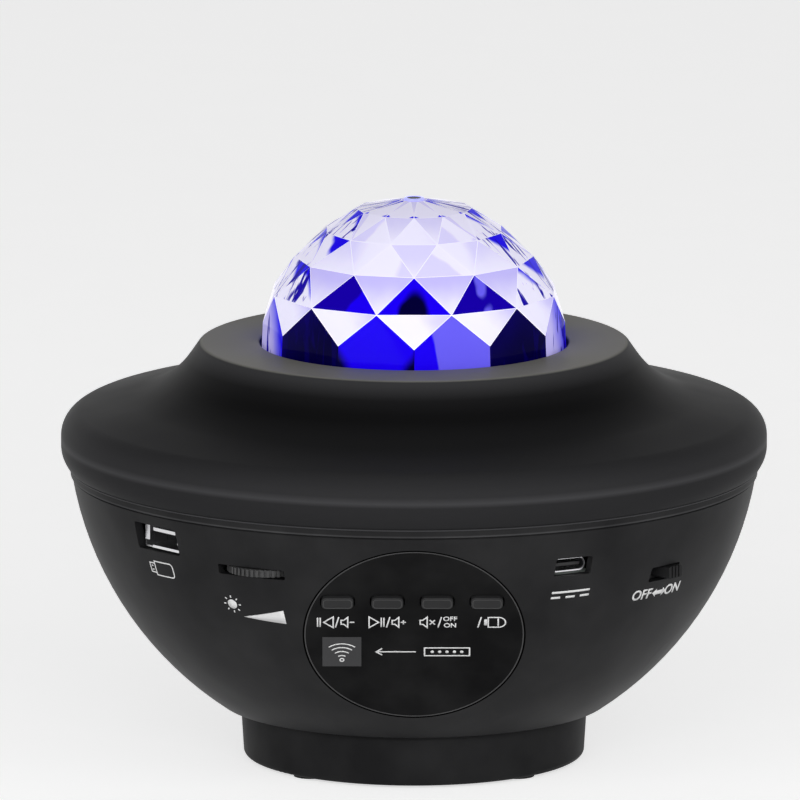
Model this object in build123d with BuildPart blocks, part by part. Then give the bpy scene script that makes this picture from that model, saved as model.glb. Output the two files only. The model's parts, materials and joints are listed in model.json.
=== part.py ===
from build123d import *
import os
from math import acos, asin, atan2, cos, degrees, pi, radians, sin, sqrt, tan

os.makedirs("parts", exist_ok=True)

# A table-top star projector with a faceted dome, in millimetres.
# Origin: middle of the surface it stands on. +Z is up and the control panel faces -Y.
# An azimuth is counted in degrees from the front, growing towards +X.

# General values
wall = 2.2
overrun = 1.0
screw_fit = 0.05
screw_clearance = 0.35
running_fit = 0.05
seat_gap = 0.1
drive_reach_share = 1.2
drive_width_share = 0.3
drive_depth_share = 0.5
front_angle = -90

# Bowl
rim_radius = 82.5
bowl_inset = 1.5
foot_radius = 40.6
foot_ledge = 4.3
foot_height = 13.2
underside_fillet = 2.5
band_drop = 13.0
band_height = 1.6
band_proud = 0.35
band_groove = 0.5
tongue_height = 3.6
tongue_thickness = 1.6
tongue_gap = 0.2

# Upper shell, from the seam upwards
rim_chamfer_height = 3.1
rim_chamfer_inset = 1.9
rim_edge = 0.8
rim_face_height = 9.2
saucer_rise = 5.7
neck_rise = 11.4
neck_foot_radius = 57.9
collar_radius = 50.0
collar_fillet = 1.6
neck_fillet_share = 1.034
rim_fillet = 5.0

# Dome: rings of corners from the base up, as shares of its radius and height
dome_sides = 12
dome_radius = 35.3
dome_height = 33.6
dome_ring_shares = [
    (1.0, 0.137),
    (0.955, 0.365),
    (0.79, 0.601),
    (0.595, 0.792),
    (0.382, 0.94),
    (0.085, 1.0),
]
dome_wall = 2.8
dome_base_tuck = 0.05
dome_hole_gap = 0.4
flange_lap = 2.4
flange_thickness = 2.0
aperture_radius = 2.3
aperture_height = 0.5

# Light chassis
chassis_depth = 16.4
chassis_floor = 2.0
chassis_wall = 2.0
chassis_lip = 0.4
ear_circle_gap = 4.8
ear_width = 8.0
ear_thickness = 2.4
boss_radius = 3.0
pillar_radius = 3.7
pillar_inset = 0.6
chassis_boss_height = 12.0
post_radius = 7.0
post_height = 10.0
shoulder_radius = 8.8
shoulder_height = 3.6

# Screws: shank radius, head radius and head height of the two sizes
screw_radius = 1.25
screw_head_radius = 2.4
screw_head_height = 1.6
small_screw_radius = 0.85
small_head_radius = 1.5
small_head_height = 0.9

# Rotor and its drive
gear_module = 0.8
rotor_teeth = 60
pinion_teeth = 12
pressure_angle = 25.0
addendum_share = 0.9
dedendum_share = 1.15
backlash = 0.12
gear_width = 3.0
gear_rim = 2.2
gear_ledge = 1.0
lens_thickness = 2.0
lens_step = 0.8
hub_radius = 11.0
hub_height = 7.6
hub_bore_height = 4.2
grating_thickness = 0.8
grating_radius = 9.6
clip_thickness = 0.5
clip_width = 1.6
clip_groove = 0.6
washer_thickness = 0.5
pinion_overlap = 0.5
shaft_radius = 1.0
shaft_grip = 6.0
shaft_hole_gap = 1.0
gearbox_width = 15.0
gearbox_depth = 11.0
gearbox_height = 9.0
motor_radius = 6.0
motor_flat = 10.0
motor_length = 15.0
motor_screw_pitch = 9.6
motor_screw_length = 5.0

# Light sources
led_board_thickness = 1.2
led_board_gap = 3.4
led_board_radius = 21.5
led_ring_radius = 16.4
led_count = 4
led_size = 5.0
led_height = 1.6
led_well_radius = 1.9
led_well_depth = 0.4
laser_radius = 5.0
laser_flange_radius = 6.5
laser_flange_height = 3.0
laser_tail = 8.0
laser_tip_gap = 0.6
laser_aperture_radius = 1.6
laser_aperture_depth = 1.5

# Foot, pads and speaker
foot_draft = 0.8
foot_edge_fillet = 1.2
foot_plate = 2.0
foot_post_radius = 3.4
foot_post_gap = 1.0
foot_boss_height = 7.0
foot_screw_sink = 5.0
foot_screw_length = 14.0
pad_radius = 4.0
pad_inset = 0.6
pad_recess = 0.8
pad_proud = 0.7
grille_hole_radius = 1.1
grille_pitch = 3.9
grille_rings = 5
speaker_radius = 25.5
speaker_flange = 1.0
speaker_flange_width = 4.6
speaker_depth = 9.0
speaker_neck_radius = 14.0
speaker_sheet = 0.9
speaker_window_radius = 3.2
speaker_windows = 6
gasket_thickness = 0.8
gasket_width = 2.4
speaker_screw_inset = 1.5
speaker_boss_radius = 1.5
speaker_screw_length = 2.4
cone_sheet = 0.6
cone_depth = 6.0
cone_throat_radius = 7.0
cap_height = 2.0
surround_height = 1.4
magnet_radius = 18.0
magnet_height = 8.0
yoke_radius = 16.0
yoke_height = 2.0
floor_clearance = 3.0

# Pillar screws
pillar_roof = 3.0
pillar_screw_length = 12.0

# Control panel, on a flat facet of the bowl
panel_tilt = 30.0
facet_radius = 25.8
panel_edge = 0.2
panel_gap = 0.15
panel_thickness = 2.2
ledge_thickness = 2.0
ledge_width = 4.1
tub_width = 2.7
panel_screw_length = 3.3
panel_screw_angles = (0, 180, 240, 300)
button_spacing = 11.5
button_row_x = -0.45
button_row_y = 10.1
button_width = 7.4
button_height = 3.4
button_corner = 1.2
button_proud = 0.8
button_gap = 0.35
button_travel = 0.8
button_flange = 0.8
button_flange_lap = 0.8
button_stem_radius = 1.5
button_stem_length = 0.6
button_crown = 0.3
tact_size = 6.0
tact_height = 3.5
plunger_radius = 1.7
plunger_length = 2.3
plunger_gap = 0.1
button_board_thickness = 1.2
button_board_width = 41.6
button_board_height = 23.0
button_board_corner = 2.0
button_board_y = 1.7
board_post_radius = 2.2
board_post_places = [(-11.6, 2.4), (11.6, 2.4), (4.0, -6.6)]
board_screw_length = 4.0
ir_window_size = 9.0
ir_window_thickness = 1.0
ir_window_gap = 0.05
ir_window_ledge = 1.3
ir_window_x = -16.7
ir_window_y = -5.3
ir_receiver_width = 6.0
ir_receiver_height = 7.0
ir_receiver_depth = 3.4
ir_lens_radius = 2.4

# Main board
board_thickness = 1.6
board_gap = 0.8
board_inner_radius = 42.0
board_sector = 75.0
board_notch_gap = 5.4
board_notch_width = 58.0
standoff_radius = 3.2
standoff_inset = 12.0
standoff_azimuth = 66.0
front_standoff_share = 0.364
front_standoff_azimuth = 25.0
board_mount_length = 7.0
chip_size = 9.0
chip_height = 1.6
chip_pitch = 15.0
chip_inset = 9.5
capacitor_radius = 4.0
capacitor_height = 10.0
capacitor_azimuth = 64.0
capacitor_gap = 10.9

# Sockets and controls round the bowl: azimuth of each, and drop below the seam
usb_azimuth = -49.4
usb_drop = 7.5
usb_opening_width = 14.7
usb_opening_height = 6.4
usb_width = 13.1
usb_height = 5.7
usb_depth = 14.0
usb_sheet = 0.3
usb_recess = 2.5
usb_back = 3.0
usb_block_rear = 1.5
usb_base_setback = 4.0
usb_tongue_width = 11.0
usb_tongue_thickness = 1.8
usb_tongue_drop = 0.9
usb_tongue_setback = 3.6
power_azimuth = 28.2
power_drop = 10.5
power_opening_width = 9.5
power_opening_height = 4.4
power_width = 8.94
power_height = 3.26
power_depth = 7.3
power_sheet = 0.3
power_recess = 3.0
power_back = 1.6
power_corner = 1.6
power_tongue_width = 6.7
power_tongue_thickness = 0.7
power_tongue_setback = 0.6
opening_corner = 0.5
port_cut_depth = 10.0
switch_azimuth = 49.5
switch_drop = 15.7
switch_opening_width = 10.0
switch_opening_height = 3.6
switch_body_width = 9.4
switch_body_depth = 5.0
switch_body_gap = 0.6
switch_slot_height = 1.8
switch_slot_depth = 2.6
switch_travel = 4.0
knob_width = 4.6
knob_height = 2.8
knob_proud = 1.6
knob_tab_width = 2.6
knob_tab_thickness = 1.4
knob_rib_width = 0.5
knob_ribs = 3
dimmer_azimuth = -29.2
dimmer_drop = 12.1
dimmer_slot_width = 17.5
dimmer_slot_height = 2.4
dimmer_radius = 9.5
dimmer_thickness = 1.8
dimmer_proud = 1.2
dimmer_notches = 48
dimmer_notch_radius = 0.3
dimmer_dish_radius = 5.6
dimmer_dish_depth = 0.3
dimmer_axle_radius = 1.5
dimmer_axle_head = 2.5
dimmer_head_height = 0.6
dimmer_collar_radius = 2.4
dimmer_base_thickness = 1.5
dimmer_base_width = 12.0
dimmer_base_lap = 2.7
dimmer_base_outer = 3.2
dimmer_notch_gap = 0.8

# Worked out from the values above: the shells
bowl_radius = rim_radius - bowl_inset
underside_radius = foot_radius + foot_ledge
bowl_centre_z = foot_height + sqrt(bowl_radius**2 - underside_radius**2)
cavity_radius = bowl_radius - wall
floor_z = foot_height + wall
band_z = bowl_centre_z - band_drop
seam_z = band_z + band_height
usb_z = seam_z - usb_drop
power_z = seam_z - power_drop
switch_z = seam_z - switch_drop
dimmer_z = seam_z - dimmer_drop
rim_face_z = seam_z + rim_chamfer_height
rim_top_z = rim_face_z + rim_face_height
neck_foot_z = rim_top_z + saucer_rise
collar_z = neck_foot_z + neck_rise
collar_under_z = collar_z - wall
neck_step = neck_foot_radius - collar_radius
neck_run = sqrt(neck_step**2 + neck_rise**2)
saucer_step = rim_radius - neck_foot_radius
saucer_run = sqrt(saucer_step**2 + saucer_rise**2)
neck_turn = atan2(neck_rise, neck_step) - atan2(saucer_rise, saucer_step)
neck_reach = neck_fillet_share * neck_run * saucer_run / (neck_run + saucer_run)
neck_fillet = neck_reach / tan(neck_turn / 2)
rim_foot_radius = rim_radius - rim_chamfer_inset
skirt_radius = rim_foot_radius - rim_edge
tongue_radius = skirt_radius - tongue_gap


def sphere_reach(radius, height):
    """Distance from the upright axis to the bowl's sphere of this radius, at this height."""
    return sqrt(radius**2 - (bowl_centre_z - height) ** 2)


def ring_point(azimuth, distance):
    """Plan position at this azimuth from the front and this far from the upright axis."""
    return (distance * sin(radians(azimuth)), -distance * cos(radians(azimuth)))


def port_plane(azimuth, height, distance):
    """Upright plane facing outwards, this far from the upright axis, with its y axis up."""
    east = sin(radians(azimuth))
    south = cos(radians(azimuth))
    place = (distance * east, -distance * south, height)
    return Plane(origin=place, x_dir=(south, east, 0), z_dir=(east, -south, 0))


def make_screw(shank_radius, shank_length, head_radius, head_height):
    """Pan-head screw with its seat at the origin, its shank upwards and a cross in its head."""
    with BuildPart() as screw:
        with BuildSketch() as head:
            Circle(head_radius)
        extrude(amount=-head_height)
        with BuildSketch() as shank:
            Circle(shank_radius)
        extrude(amount=shank_length)
        with BuildSketch(Plane.XY.offset(-head_height)) as cross:
            with PolarLocations(0, 2, angular_range=180):
                Rectangle(head_radius * drive_reach_share, head_radius * drive_width_share)
        extrude(amount=head_height * drive_depth_share, mode=Mode.SUBTRACT)
    return screw.part


# Upper shell: rim, saucer, neck and collar turned from one outline
dome_ring_radius, dome_ring_height = dome_ring_shares[0]
dome_shoulder_radius, dome_shoulder_height = dome_ring_shares[1]
half_side = cos(pi / dome_sides)
side_lean = (dome_shoulder_radius - dome_ring_radius * half_side) * dome_radius
side_lean = side_lean / ((dome_shoulder_height - dome_ring_height) * dome_height)
dome_base_drop = dome_ring_height * dome_height + wall
dome_base_radius = dome_ring_radius * dome_radius - side_lean * dome_base_drop / half_side - dome_base_tuck
dome_hole_radius = dome_base_radius + dome_hole_gap
flange_radius = dome_hole_radius + flange_lap
flange_z = collar_under_z - flange_thickness
chassis_radius = flange_radius - chassis_lip
ear_circle = chassis_radius + ear_circle_gap

with BuildPart() as upper_shell:
    with BuildSketch(Plane.XZ) as upper_section:
        with BuildLine() as upper_outline:
            Polyline(
                (dome_hole_radius, seam_z),
                (dome_hole_radius, collar_z),
                (collar_radius, collar_z),
                (neck_foot_radius, neck_foot_z),
                (rim_radius, rim_top_z),
                (rim_radius, rim_face_z),
                (rim_foot_radius, seam_z),
                close=True,
            )
        make_face()
        collar_corner = upper_section.vertices().sort_by_distance((collar_radius, collar_z))[0]
        fillet(collar_corner, collar_fillet)
        neck_corner = upper_section.vertices().sort_by_distance((neck_foot_radius, neck_foot_z))[0]
        fillet(neck_corner, neck_fillet)
        rim_corner = upper_section.vertices().sort_by_distance((rim_radius, rim_top_z))[0]
        fillet(rim_corner, rim_fillet)
        offset(upper_section.sketch, amount=-wall, kind=Kind.INTERSECTION, mode=Mode.SUBTRACT)
        with BuildLine() as skirt_opening:
            skirt_top_z = rim_face_z + wall
            Polyline(
                (0, seam_z),
                (skirt_radius, seam_z),
                (skirt_radius, skirt_top_z),
                (0, skirt_top_z),
                close=True,
            )
        make_face(mode=Mode.SUBTRACT)
        inner_edge = dome_hole_radius + wall
        with BuildLine() as throat_opening:
            Polyline(
                (0, seam_z),
                (inner_edge, seam_z),
                (inner_edge, collar_under_z),
                (0, collar_under_z),
                close=True,
            )
        make_face(mode=Mode.SUBTRACT)
    revolve(axis=Axis.Z)
    with BuildSketch(Plane.XY.offset(flange_z)) as collar_bosses:
        with PolarLocations(ear_circle, 4):
            Circle(boss_radius)
    extrude(amount=flange_thickness)
    with BuildSketch(Plane.XY.offset(flange_z)) as collar_pilots:
        with PolarLocations(ear_circle, 4):
            Circle(screw_radius + screw_fit)
    extrude(amount=flange_thickness + wall / 2, mode=Mode.SUBTRACT)
upper_shell.part.label = "upper_shell"
export_step(upper_shell.part, "parts/upper_shell.step")

# Dome: faceted outside, smooth inside, with a flange trapped under the collar
dome_corners = []
base_ring = [(dome_base_radius / dome_radius, -wall / dome_height)]
for ring, (radius_share, height_share) in enumerate(base_ring + dome_ring_shares):
    turn = 0 if ring < 2 else (ring - 1) % 2 * 180 / dome_sides
    for side in range(dome_sides):
        x, y = ring_point(360 * side / dome_sides + turn, radius_share * dome_radius)
        dome_corners.append((x, y, collar_z + height_share * dome_height))
dome_top_z = collar_z + dome_height
dome_inner_radius = dome_radius - dome_wall
dome_centre_z = dome_top_z - dome_wall - dome_inner_radius
with BuildPart() as dome:
    ConvexPolyhedron(dome_corners)
    with BuildSketch(Plane.XZ) as dome_hollow:
        with BuildLine() as hollow_outline:
            CenterArc((0, dome_centre_z), dome_inner_radius, 0, 90)
            Polyline(
                (0, dome_top_z - dome_wall),
                (0, flange_z),
                (dome_inner_radius, flange_z),
                (dome_inner_radius, dome_centre_z),
            )
        make_face()
    revolve(axis=Axis.Z, mode=Mode.SUBTRACT)
    with BuildSketch(Plane.XY.offset(flange_z)) as dome_flange:
        Circle(flange_radius)
        Circle(dome_inner_radius, mode=Mode.SUBTRACT)
    extrude(amount=flange_thickness)
    with BuildSketch(Plane.XY.offset(dome_top_z)) as aperture_boss:
        Circle(aperture_radius)
    extrude(amount=aperture_height)
dome.part.label = "dome"
export_step(dome.part, "parts/dome.step")

# Light chassis: a cup that clamps the dome's flange and carries everything that lights it
chassis_z = flange_z - chassis_depth
chassis_floor_z = chassis_z + chassis_floor
chassis_inner = chassis_radius - chassis_wall
pillar_circle = chassis_radius - pillar_radius - pillar_inset
pillar_top_z = chassis_z - chassis_boss_height
post_z = chassis_floor_z + post_height
shoulder_z = chassis_floor_z + shoulder_height
washer_z = shoulder_z + washer_thickness
hub_z = washer_z + seat_gap
clip_seat_z = hub_z + hub_bore_height
clip_z = clip_seat_z + seat_gap
post_bore = laser_radius + screw_fit
gear_centre = gear_module * (rotor_teeth + pinion_teeth) / 2 + backlash / 2
shaft_hole_radius = shaft_radius + shaft_hole_gap
with BuildPart() as light_chassis:
    with BuildSketch(Plane.XZ) as chassis_section:
        with BuildLine() as chassis_outline:
            Polyline(
                (post_bore, chassis_z),
                (chassis_radius, chassis_z),
                (chassis_radius, flange_z),
                (chassis_inner, flange_z),
                (chassis_inner, chassis_floor_z),
                (shoulder_radius, chassis_floor_z),
                (shoulder_radius, shoulder_z),
                (post_radius, shoulder_z),
                (post_radius, clip_z),
                (post_radius - clip_groove, clip_z),
                (post_radius - clip_groove, clip_z + clip_thickness + seat_gap),
                (post_radius, clip_z + clip_thickness + seat_gap),
                (post_radius, post_z),
                (post_bore, post_z),
                close=True,
            )
        make_face()
    revolve(axis=Axis.Z)
    with BuildSketch(Plane.XY.offset(flange_z)) as ears:
        with PolarLocations(ear_circle, 4):
            Circle(ear_width / 2)
        with PolarLocations(chassis_radius + ear_circle_gap / 2, 4):
            Rectangle(ear_circle_gap + chassis_wall, ear_width)
        Circle(chassis_inner, mode=Mode.SUBTRACT)
    extrude(amount=-ear_thickness)
    with BuildSketch(Plane.XY.offset(flange_z)) as ear_holes:
        with PolarLocations(ear_circle, 4):
            Circle(screw_radius + screw_clearance)
    extrude(amount=-ear_thickness, mode=Mode.SUBTRACT)
    with BuildSketch(Plane.XY.offset(pillar_top_z)) as chassis_bosses:
        with PolarLocations(pillar_circle, 4, start_angle=45):
            Circle(pillar_radius)
    extrude(amount=chassis_boss_height)
    with BuildSketch(Plane.XY.offset(pillar_top_z)) as chassis_pilots:
        with PolarLocations(pillar_circle, 4, start_angle=45):
            Circle(screw_radius + screw_fit)
    extrude(amount=chassis_boss_height, mode=Mode.SUBTRACT)
    with BuildSketch(Plane.XY.offset(chassis_z)) as floor_holes:
        with Locations((0, gear_centre)):
            Circle(shaft_hole_radius)
            with GridLocations(motor_screw_pitch, 0, 2, 1):
                Circle(small_screw_radius + screw_clearance)
        with PolarLocations(led_ring_radius, 2, start_angle=45):
            Circle(small_screw_radius + screw_fit)
    extrude(amount=chassis_floor, mode=Mode.SUBTRACT)
light_chassis.part.label = "light_chassis"
export_step(light_chassis.part, "parts/light_chassis.step")

ear_screw_length = ear_thickness + flange_thickness
ear_screw = make_screw(screw_radius, ear_screw_length, screw_head_radius, screw_head_height)
with BuildPart() as chassis_screws:
    with PolarLocations(ear_circle, 4, rotate=False):
        with Locations((0, 0, flange_z - ear_thickness)):
            add(ear_screw)
chassis_screws.part.label = "chassis_screws"
export_step(chassis_screws.part, "parts/chassis_screws.step")

# Light-source board: a ring of metal-backed board with four emitters and two screws
led_board_inner = shoulder_radius + led_board_gap
led_board_z = chassis_floor_z + led_board_thickness
with BuildPart() as led_board:
    with BuildSketch(Plane.XY.offset(chassis_floor_z)) as led_ring:
        Circle(led_board_radius)
        Circle(led_board_inner, mode=Mode.SUBTRACT)
        with PolarLocations(led_ring_radius, 2, start_angle=45):
            Circle(small_screw_radius + screw_clearance, mode=Mode.SUBTRACT)
    extrude(amount=led_board_thickness)
led_board.part.label = "led_board"
export_step(led_board.part, "parts/led_board.step")

with BuildPart() as led_emitters:
    with BuildSketch(Plane.XY.offset(led_board_z)) as led_bodies:
        with PolarLocations(led_ring_radius, led_count):
            Rectangle(led_size, led_size)
    extrude(amount=led_height)
    with BuildSketch(Plane.XY.offset(led_board_z + led_height)) as led_wells:
        with PolarLocations(led_ring_radius, led_count):
            Circle(led_well_radius)
    extrude(amount=-led_well_depth, mode=Mode.SUBTRACT)
led_emitters.part.label = "led_emitters"
export_step(led_emitters.part, "parts/led_emitters.step")

led_screw_length = led_board_thickness + chassis_floor
led_screw = make_screw(small_screw_radius, led_screw_length, small_head_radius, small_head_height)
with BuildPart() as led_screws:
    with PolarLocations(led_ring_radius, 2, start_angle=45):
        with Locations(Location((0, 0, led_board_z), (180, 0, 0))):
            add(led_screw)
led_screws.part.label = "led_screws"
export_step(led_screws.part, "parts/led_screws.step")

# Laser module, pushed up the middle of the chassis post
laser_top_z = post_z - laser_tip_gap
with BuildPart() as laser_module:
    with BuildSketch(Plane.XZ) as laser_section:
        with BuildLine() as laser_outline:
            Polyline(
                (0, chassis_z - laser_flange_height - laser_tail),
                (laser_radius, chassis_z - laser_flange_height - laser_tail),
                (laser_radius, chassis_z - laser_flange_height),
                (laser_flange_radius, chassis_z - laser_flange_height),
                (laser_flange_radius, chassis_z),
                (laser_radius, chassis_z),
                (laser_radius, laser_top_z),
                (laser_aperture_radius, laser_top_z),
                (laser_aperture_radius, laser_top_z - laser_aperture_depth),
                (0, laser_top_z - laser_aperture_depth),
                close=True,
            )
        make_face()
    revolve(axis=Axis.Z)
laser_module.part.label = "laser_module"
export_step(laser_module.part, "parts/laser_module.step")

# Rotor: toothed ring, ripple lens with its hub, diffraction disc, washer and retaining clip
rotor_radius = gear_module * rotor_teeth / 2


def involute(angle):
    """Involute function of an angle in radians."""
    return tan(angle) - angle


def tooth_point(teeth, distance, side):
    """Point of an involute flank at this distance from the gear's axis, on the given side."""
    pitch_radius = gear_module * teeth / 2
    base_radius = pitch_radius * cos(radians(pressure_angle))
    half_tooth = pi / (2 * teeth) - backlash / (2 * pitch_radius) + involute(radians(pressure_angle))
    turn = half_tooth - involute(acos(min(1, base_radius / distance)))
    return (distance * cos(turn), side * distance * sin(turn))


def make_gear_face(teeth):
    """Face of a spur gear with involute teeth, the first of them on the x axis."""
    pitch_radius = gear_module * teeth / 2
    root_radius = pitch_radius - dedendum_share * gear_module
    tip_radius = pitch_radius + addendum_share * gear_module
    start_radius = max(root_radius, pitch_radius * cos(radians(pressure_angle)))
    middle_radius = (start_radius + tip_radius) / 2
    sunk_radius = root_radius - gear_module / 2
    with BuildSketch() as tooth:
        with BuildLine() as tooth_outline:
            right = [tooth_point(teeth, r, -1) for r in (start_radius, middle_radius, tip_radius)]
            left = [tooth_point(teeth, r, 1) for r in (tip_radius, middle_radius, start_radius)]
            ThreePointArc(*right)
            Line(right[2], left[0])
            ThreePointArc(*left)
            left_root = (sunk_radius, left[2][1])
            right_root = (sunk_radius, right[0][1])
            Polyline(left[2], left_root, right_root, right[0])
        make_face()
    with BuildSketch() as gear:
        Circle(root_radius)
        with PolarLocations(0, teeth):
            add(tooth.sketch)
    return gear.sketch


rotor_ring_radius = rotor_radius - dedendum_share * gear_module - gear_rim
lens_radius = rotor_ring_radius - screw_fit
lens_z = hub_z + lens_step
gear_z = lens_z - gear_ledge
with BuildPart() as rotor_gear:
    with BuildSketch(Plane.XY.offset(gear_z)) as rotor_teeth_face:
        add(make_gear_face(rotor_teeth))
        Circle(rotor_ring_radius - gear_ledge, mode=Mode.SUBTRACT)
    extrude(amount=gear_width)
    with BuildSketch(Plane.XY.offset(lens_z)) as lens_seat:
        Circle(rotor_ring_radius)
    extrude(amount=gear_width, mode=Mode.SUBTRACT)
rotor_gear.part.label = "rotor_gear"
export_step(rotor_gear.part, "parts/rotor_gear.step")

hub_top_z = hub_z + hub_height
hub_well_radius = post_radius + clip_width
with BuildPart() as ripple_lens:
    with BuildSketch(Plane.XZ) as lens_section:
        with BuildLine() as lens_outline:
            Polyline(
                (post_radius + running_fit, hub_z),
                (hub_radius, hub_z),
                (hub_radius, lens_z),
                (lens_radius, lens_z),
                (lens_radius, lens_z + lens_thickness),
                (hub_radius, lens_z + lens_thickness),
                (hub_radius, hub_top_z),
                (grating_radius + screw_fit, hub_top_z),
                (grating_radius + screw_fit, hub_top_z - grating_thickness),
                (hub_well_radius, hub_top_z - grating_thickness),
                (hub_well_radius, clip_seat_z),
                (post_radius + running_fit, clip_seat_z),
                close=True,
            )
        make_face()
    revolve(axis=Axis.Z)
ripple_lens.part.label = "ripple_lens"
export_step(ripple_lens.part, "parts/ripple_lens.step")

with BuildPart() as star_grating:
    with BuildSketch(Plane.XY.offset(hub_top_z)) as grating_disc:
        Circle(grating_radius)
    extrude(amount=-grating_thickness)
star_grating.part.label = "star_grating"
export_step(star_grating.part, "parts/star_grating.step")

with BuildPart() as thrust_washer:
    with BuildSketch(Plane.XY.offset(shoulder_z)) as washer_ring:
        Circle(shoulder_radius)
        Circle(post_radius + running_fit, mode=Mode.SUBTRACT)
    extrude(amount=washer_thickness)
thrust_washer.part.label = "thrust_washer"
export_step(thrust_washer.part, "parts/thrust_washer.step")

clip_inner = post_radius - clip_groove + screw_fit
clip_outer = hub_well_radius - seat_gap
with BuildPart() as rotor_clip:
    with BuildSketch(Plane.XY.offset(clip_z + seat_gap / 2)) as clip_ring:
        Circle(clip_outer)
        Circle(clip_inner, mode=Mode.SUBTRACT)
        with Locations((clip_outer / 2 + clip_inner / 2, 0)):
            Rectangle(clip_outer, clip_width, mode=Mode.SUBTRACT)
    extrude(amount=clip_thickness)
rotor_clip.part.label = "rotor_clip"
export_step(rotor_clip.part, "parts/rotor_clip.step")

# Gear motor under the chassis, its shaft and the pinion that turns the rotor
drive_axis = Plane(origin=(0, gear_centre, 0))
pinion_z = gear_z - pinion_overlap
pinion_top_z = gear_z + gear_width + pinion_overlap
gearbox_z = chassis_z - gearbox_height
with BuildPart() as drive_pinion:
    with BuildSketch(drive_axis.offset(pinion_z)) as pinion_face:
        add(make_gear_face(pinion_teeth), rotation=180 / pinion_teeth)
        Circle(shaft_radius, mode=Mode.SUBTRACT)
    extrude(amount=pinion_top_z - pinion_z)
drive_pinion.part.label = "drive_pinion"
export_step(drive_pinion.part, "parts/drive_pinion.step")

with BuildPart() as motor_shaft:
    with BuildSketch(drive_axis.offset(chassis_z - shaft_grip)) as shaft_face:
        Circle(shaft_radius)
    extrude(amount=pinion_top_z - chassis_z + shaft_grip)
motor_shaft.part.label = "motor_shaft"
export_step(motor_shaft.part, "parts/motor_shaft.step")

with BuildPart() as motor_gearbox:
    with BuildSketch(drive_axis.offset(chassis_z)) as gearbox_face:
        Rectangle(gearbox_width, gearbox_depth)
        fillet(gearbox_face.vertices(), screw_head_height)
    extrude(amount=-gearbox_height)
    with BuildSketch(drive_axis.offset(chassis_z)) as gearbox_bore:
        Circle(shaft_radius + running_fit)
    extrude(amount=-shaft_grip - seat_gap, mode=Mode.SUBTRACT)
    with BuildSketch(drive_axis.offset(chassis_z)) as gearbox_pilots:
        with GridLocations(motor_screw_pitch, 0, 2, 1):
            Circle(small_screw_radius + screw_fit)
    extrude(amount=-motor_screw_length, mode=Mode.SUBTRACT)
motor_gearbox.part.label = "motor_gearbox"
export_step(motor_gearbox.part, "parts/motor_gearbox.step")

with BuildPart() as motor_can:
    with BuildSketch(drive_axis.offset(gearbox_z)) as can_face:
        Circle(motor_radius)
        Rectangle(motor_radius * 2, motor_flat, mode=Mode.INTERSECT)
    extrude(amount=-motor_length)
    with BuildSketch(drive_axis.offset(gearbox_z - motor_length)) as can_boss:
        Circle(motor_radius / 2)
    extrude(amount=-overrun)
motor_can.part.label = "motor_can"
export_step(motor_can.part, "parts/motor_can.step")

motor_screw = make_screw(small_screw_radius, motor_screw_length, small_head_radius, small_head_height)
with BuildPart() as motor_screws:
    with Locations((0, gear_centre, chassis_floor_z)):
        with GridLocations(motor_screw_pitch, 0, 2, 1):
            with Locations(Location((0, 0, 0), (180, 0, 0))):
                add(motor_screw)
motor_screws.part.label = "motor_screws"
export_step(motor_screws.part, "parts/motor_screws.step")

# Places that the lower shell shares with the boards and controls it holds
panel_distance = sqrt(bowl_radius**2 - facet_radius**2)
panel_run = panel_distance * cos(radians(panel_tilt))
panel_fall = panel_distance * sin(radians(panel_tilt))
panel_face = Plane(
    origin=(0, -panel_run, bowl_centre_z - panel_fall),
    x_dir=(1, 0, 0),
    z_dir=(0, -cos(radians(panel_tilt)), -sin(radians(panel_tilt))),
)
seat_radius = facet_radius - panel_edge
panel_radius = seat_radius - panel_gap
ledge_radius = seat_radius - ledge_width
tub_radius = seat_radius + tub_width
tub_depth = panel_thickness + ledge_thickness
button_places = [(button_row_x + (i - 1.5) * button_spacing, button_row_y) for i in range(4)]
button_row_width = 3 * button_spacing + button_width
button_window_height = button_height + 2 * button_flange_lap + 2 * button_gap
panel_screw_circle = seat_radius - ledge_width / 2
board_z = power_z - power_height / 2
board_under_z = board_z - board_thickness
board_radius = sphere_reach(cavity_radius, board_under_z) - board_gap
flange_top_depth = panel_thickness + seat_gap
flange_depth = flange_top_depth + button_flange
plunger_top_depth = flange_depth + button_stem_length
tact_top_depth = plunger_top_depth + button_travel + seat_gap
button_board_depth = tact_top_depth + tact_height
panel_lean = (board_under_z - panel_face.origin.Z) * tan(radians(panel_tilt))
panel_back = (button_board_depth + button_board_thickness) / cos(radians(panel_tilt))
board_notch_y = panel_run + panel_lean - panel_back - board_notch_gap
standoff_circle = board_radius - standoff_inset
board_bridge = board_notch_y / cos(radians(front_standoff_azimuth)) - board_inner_radius
front_circle = board_inner_radius + front_standoff_share * board_bridge
standoff_places = [
    ring_point(-standoff_azimuth, standoff_circle),
    ring_point(standoff_azimuth, standoff_circle),
    ring_point(-front_standoff_azimuth, front_circle),
    ring_point(front_standoff_azimuth, front_circle),
]
foot_screw_circle = foot_radius - wall - foot_post_radius - foot_post_gap
floor_opening_radius = speaker_radius + floor_clearance
usb_mouth = sphere_reach(bowl_radius, usb_z) - usb_recess
power_mouth = sphere_reach(bowl_radius, power_z) - power_recess
dimmer_distance = sphere_reach(bowl_radius, dimmer_z) + dimmer_proud - dimmer_radius
outside = bowl_radius + overrun
port_openings = [
    (port_plane(usb_azimuth, usb_z, outside), usb_opening_width, usb_opening_height),
    (port_plane(power_azimuth, power_z, outside), power_opening_width, power_opening_height),
    (port_plane(switch_azimuth, switch_z, outside), switch_opening_width, switch_opening_height),
    (port_plane(dimmer_azimuth, dimmer_z, outside), dimmer_slot_width, dimmer_slot_height),
]

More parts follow.
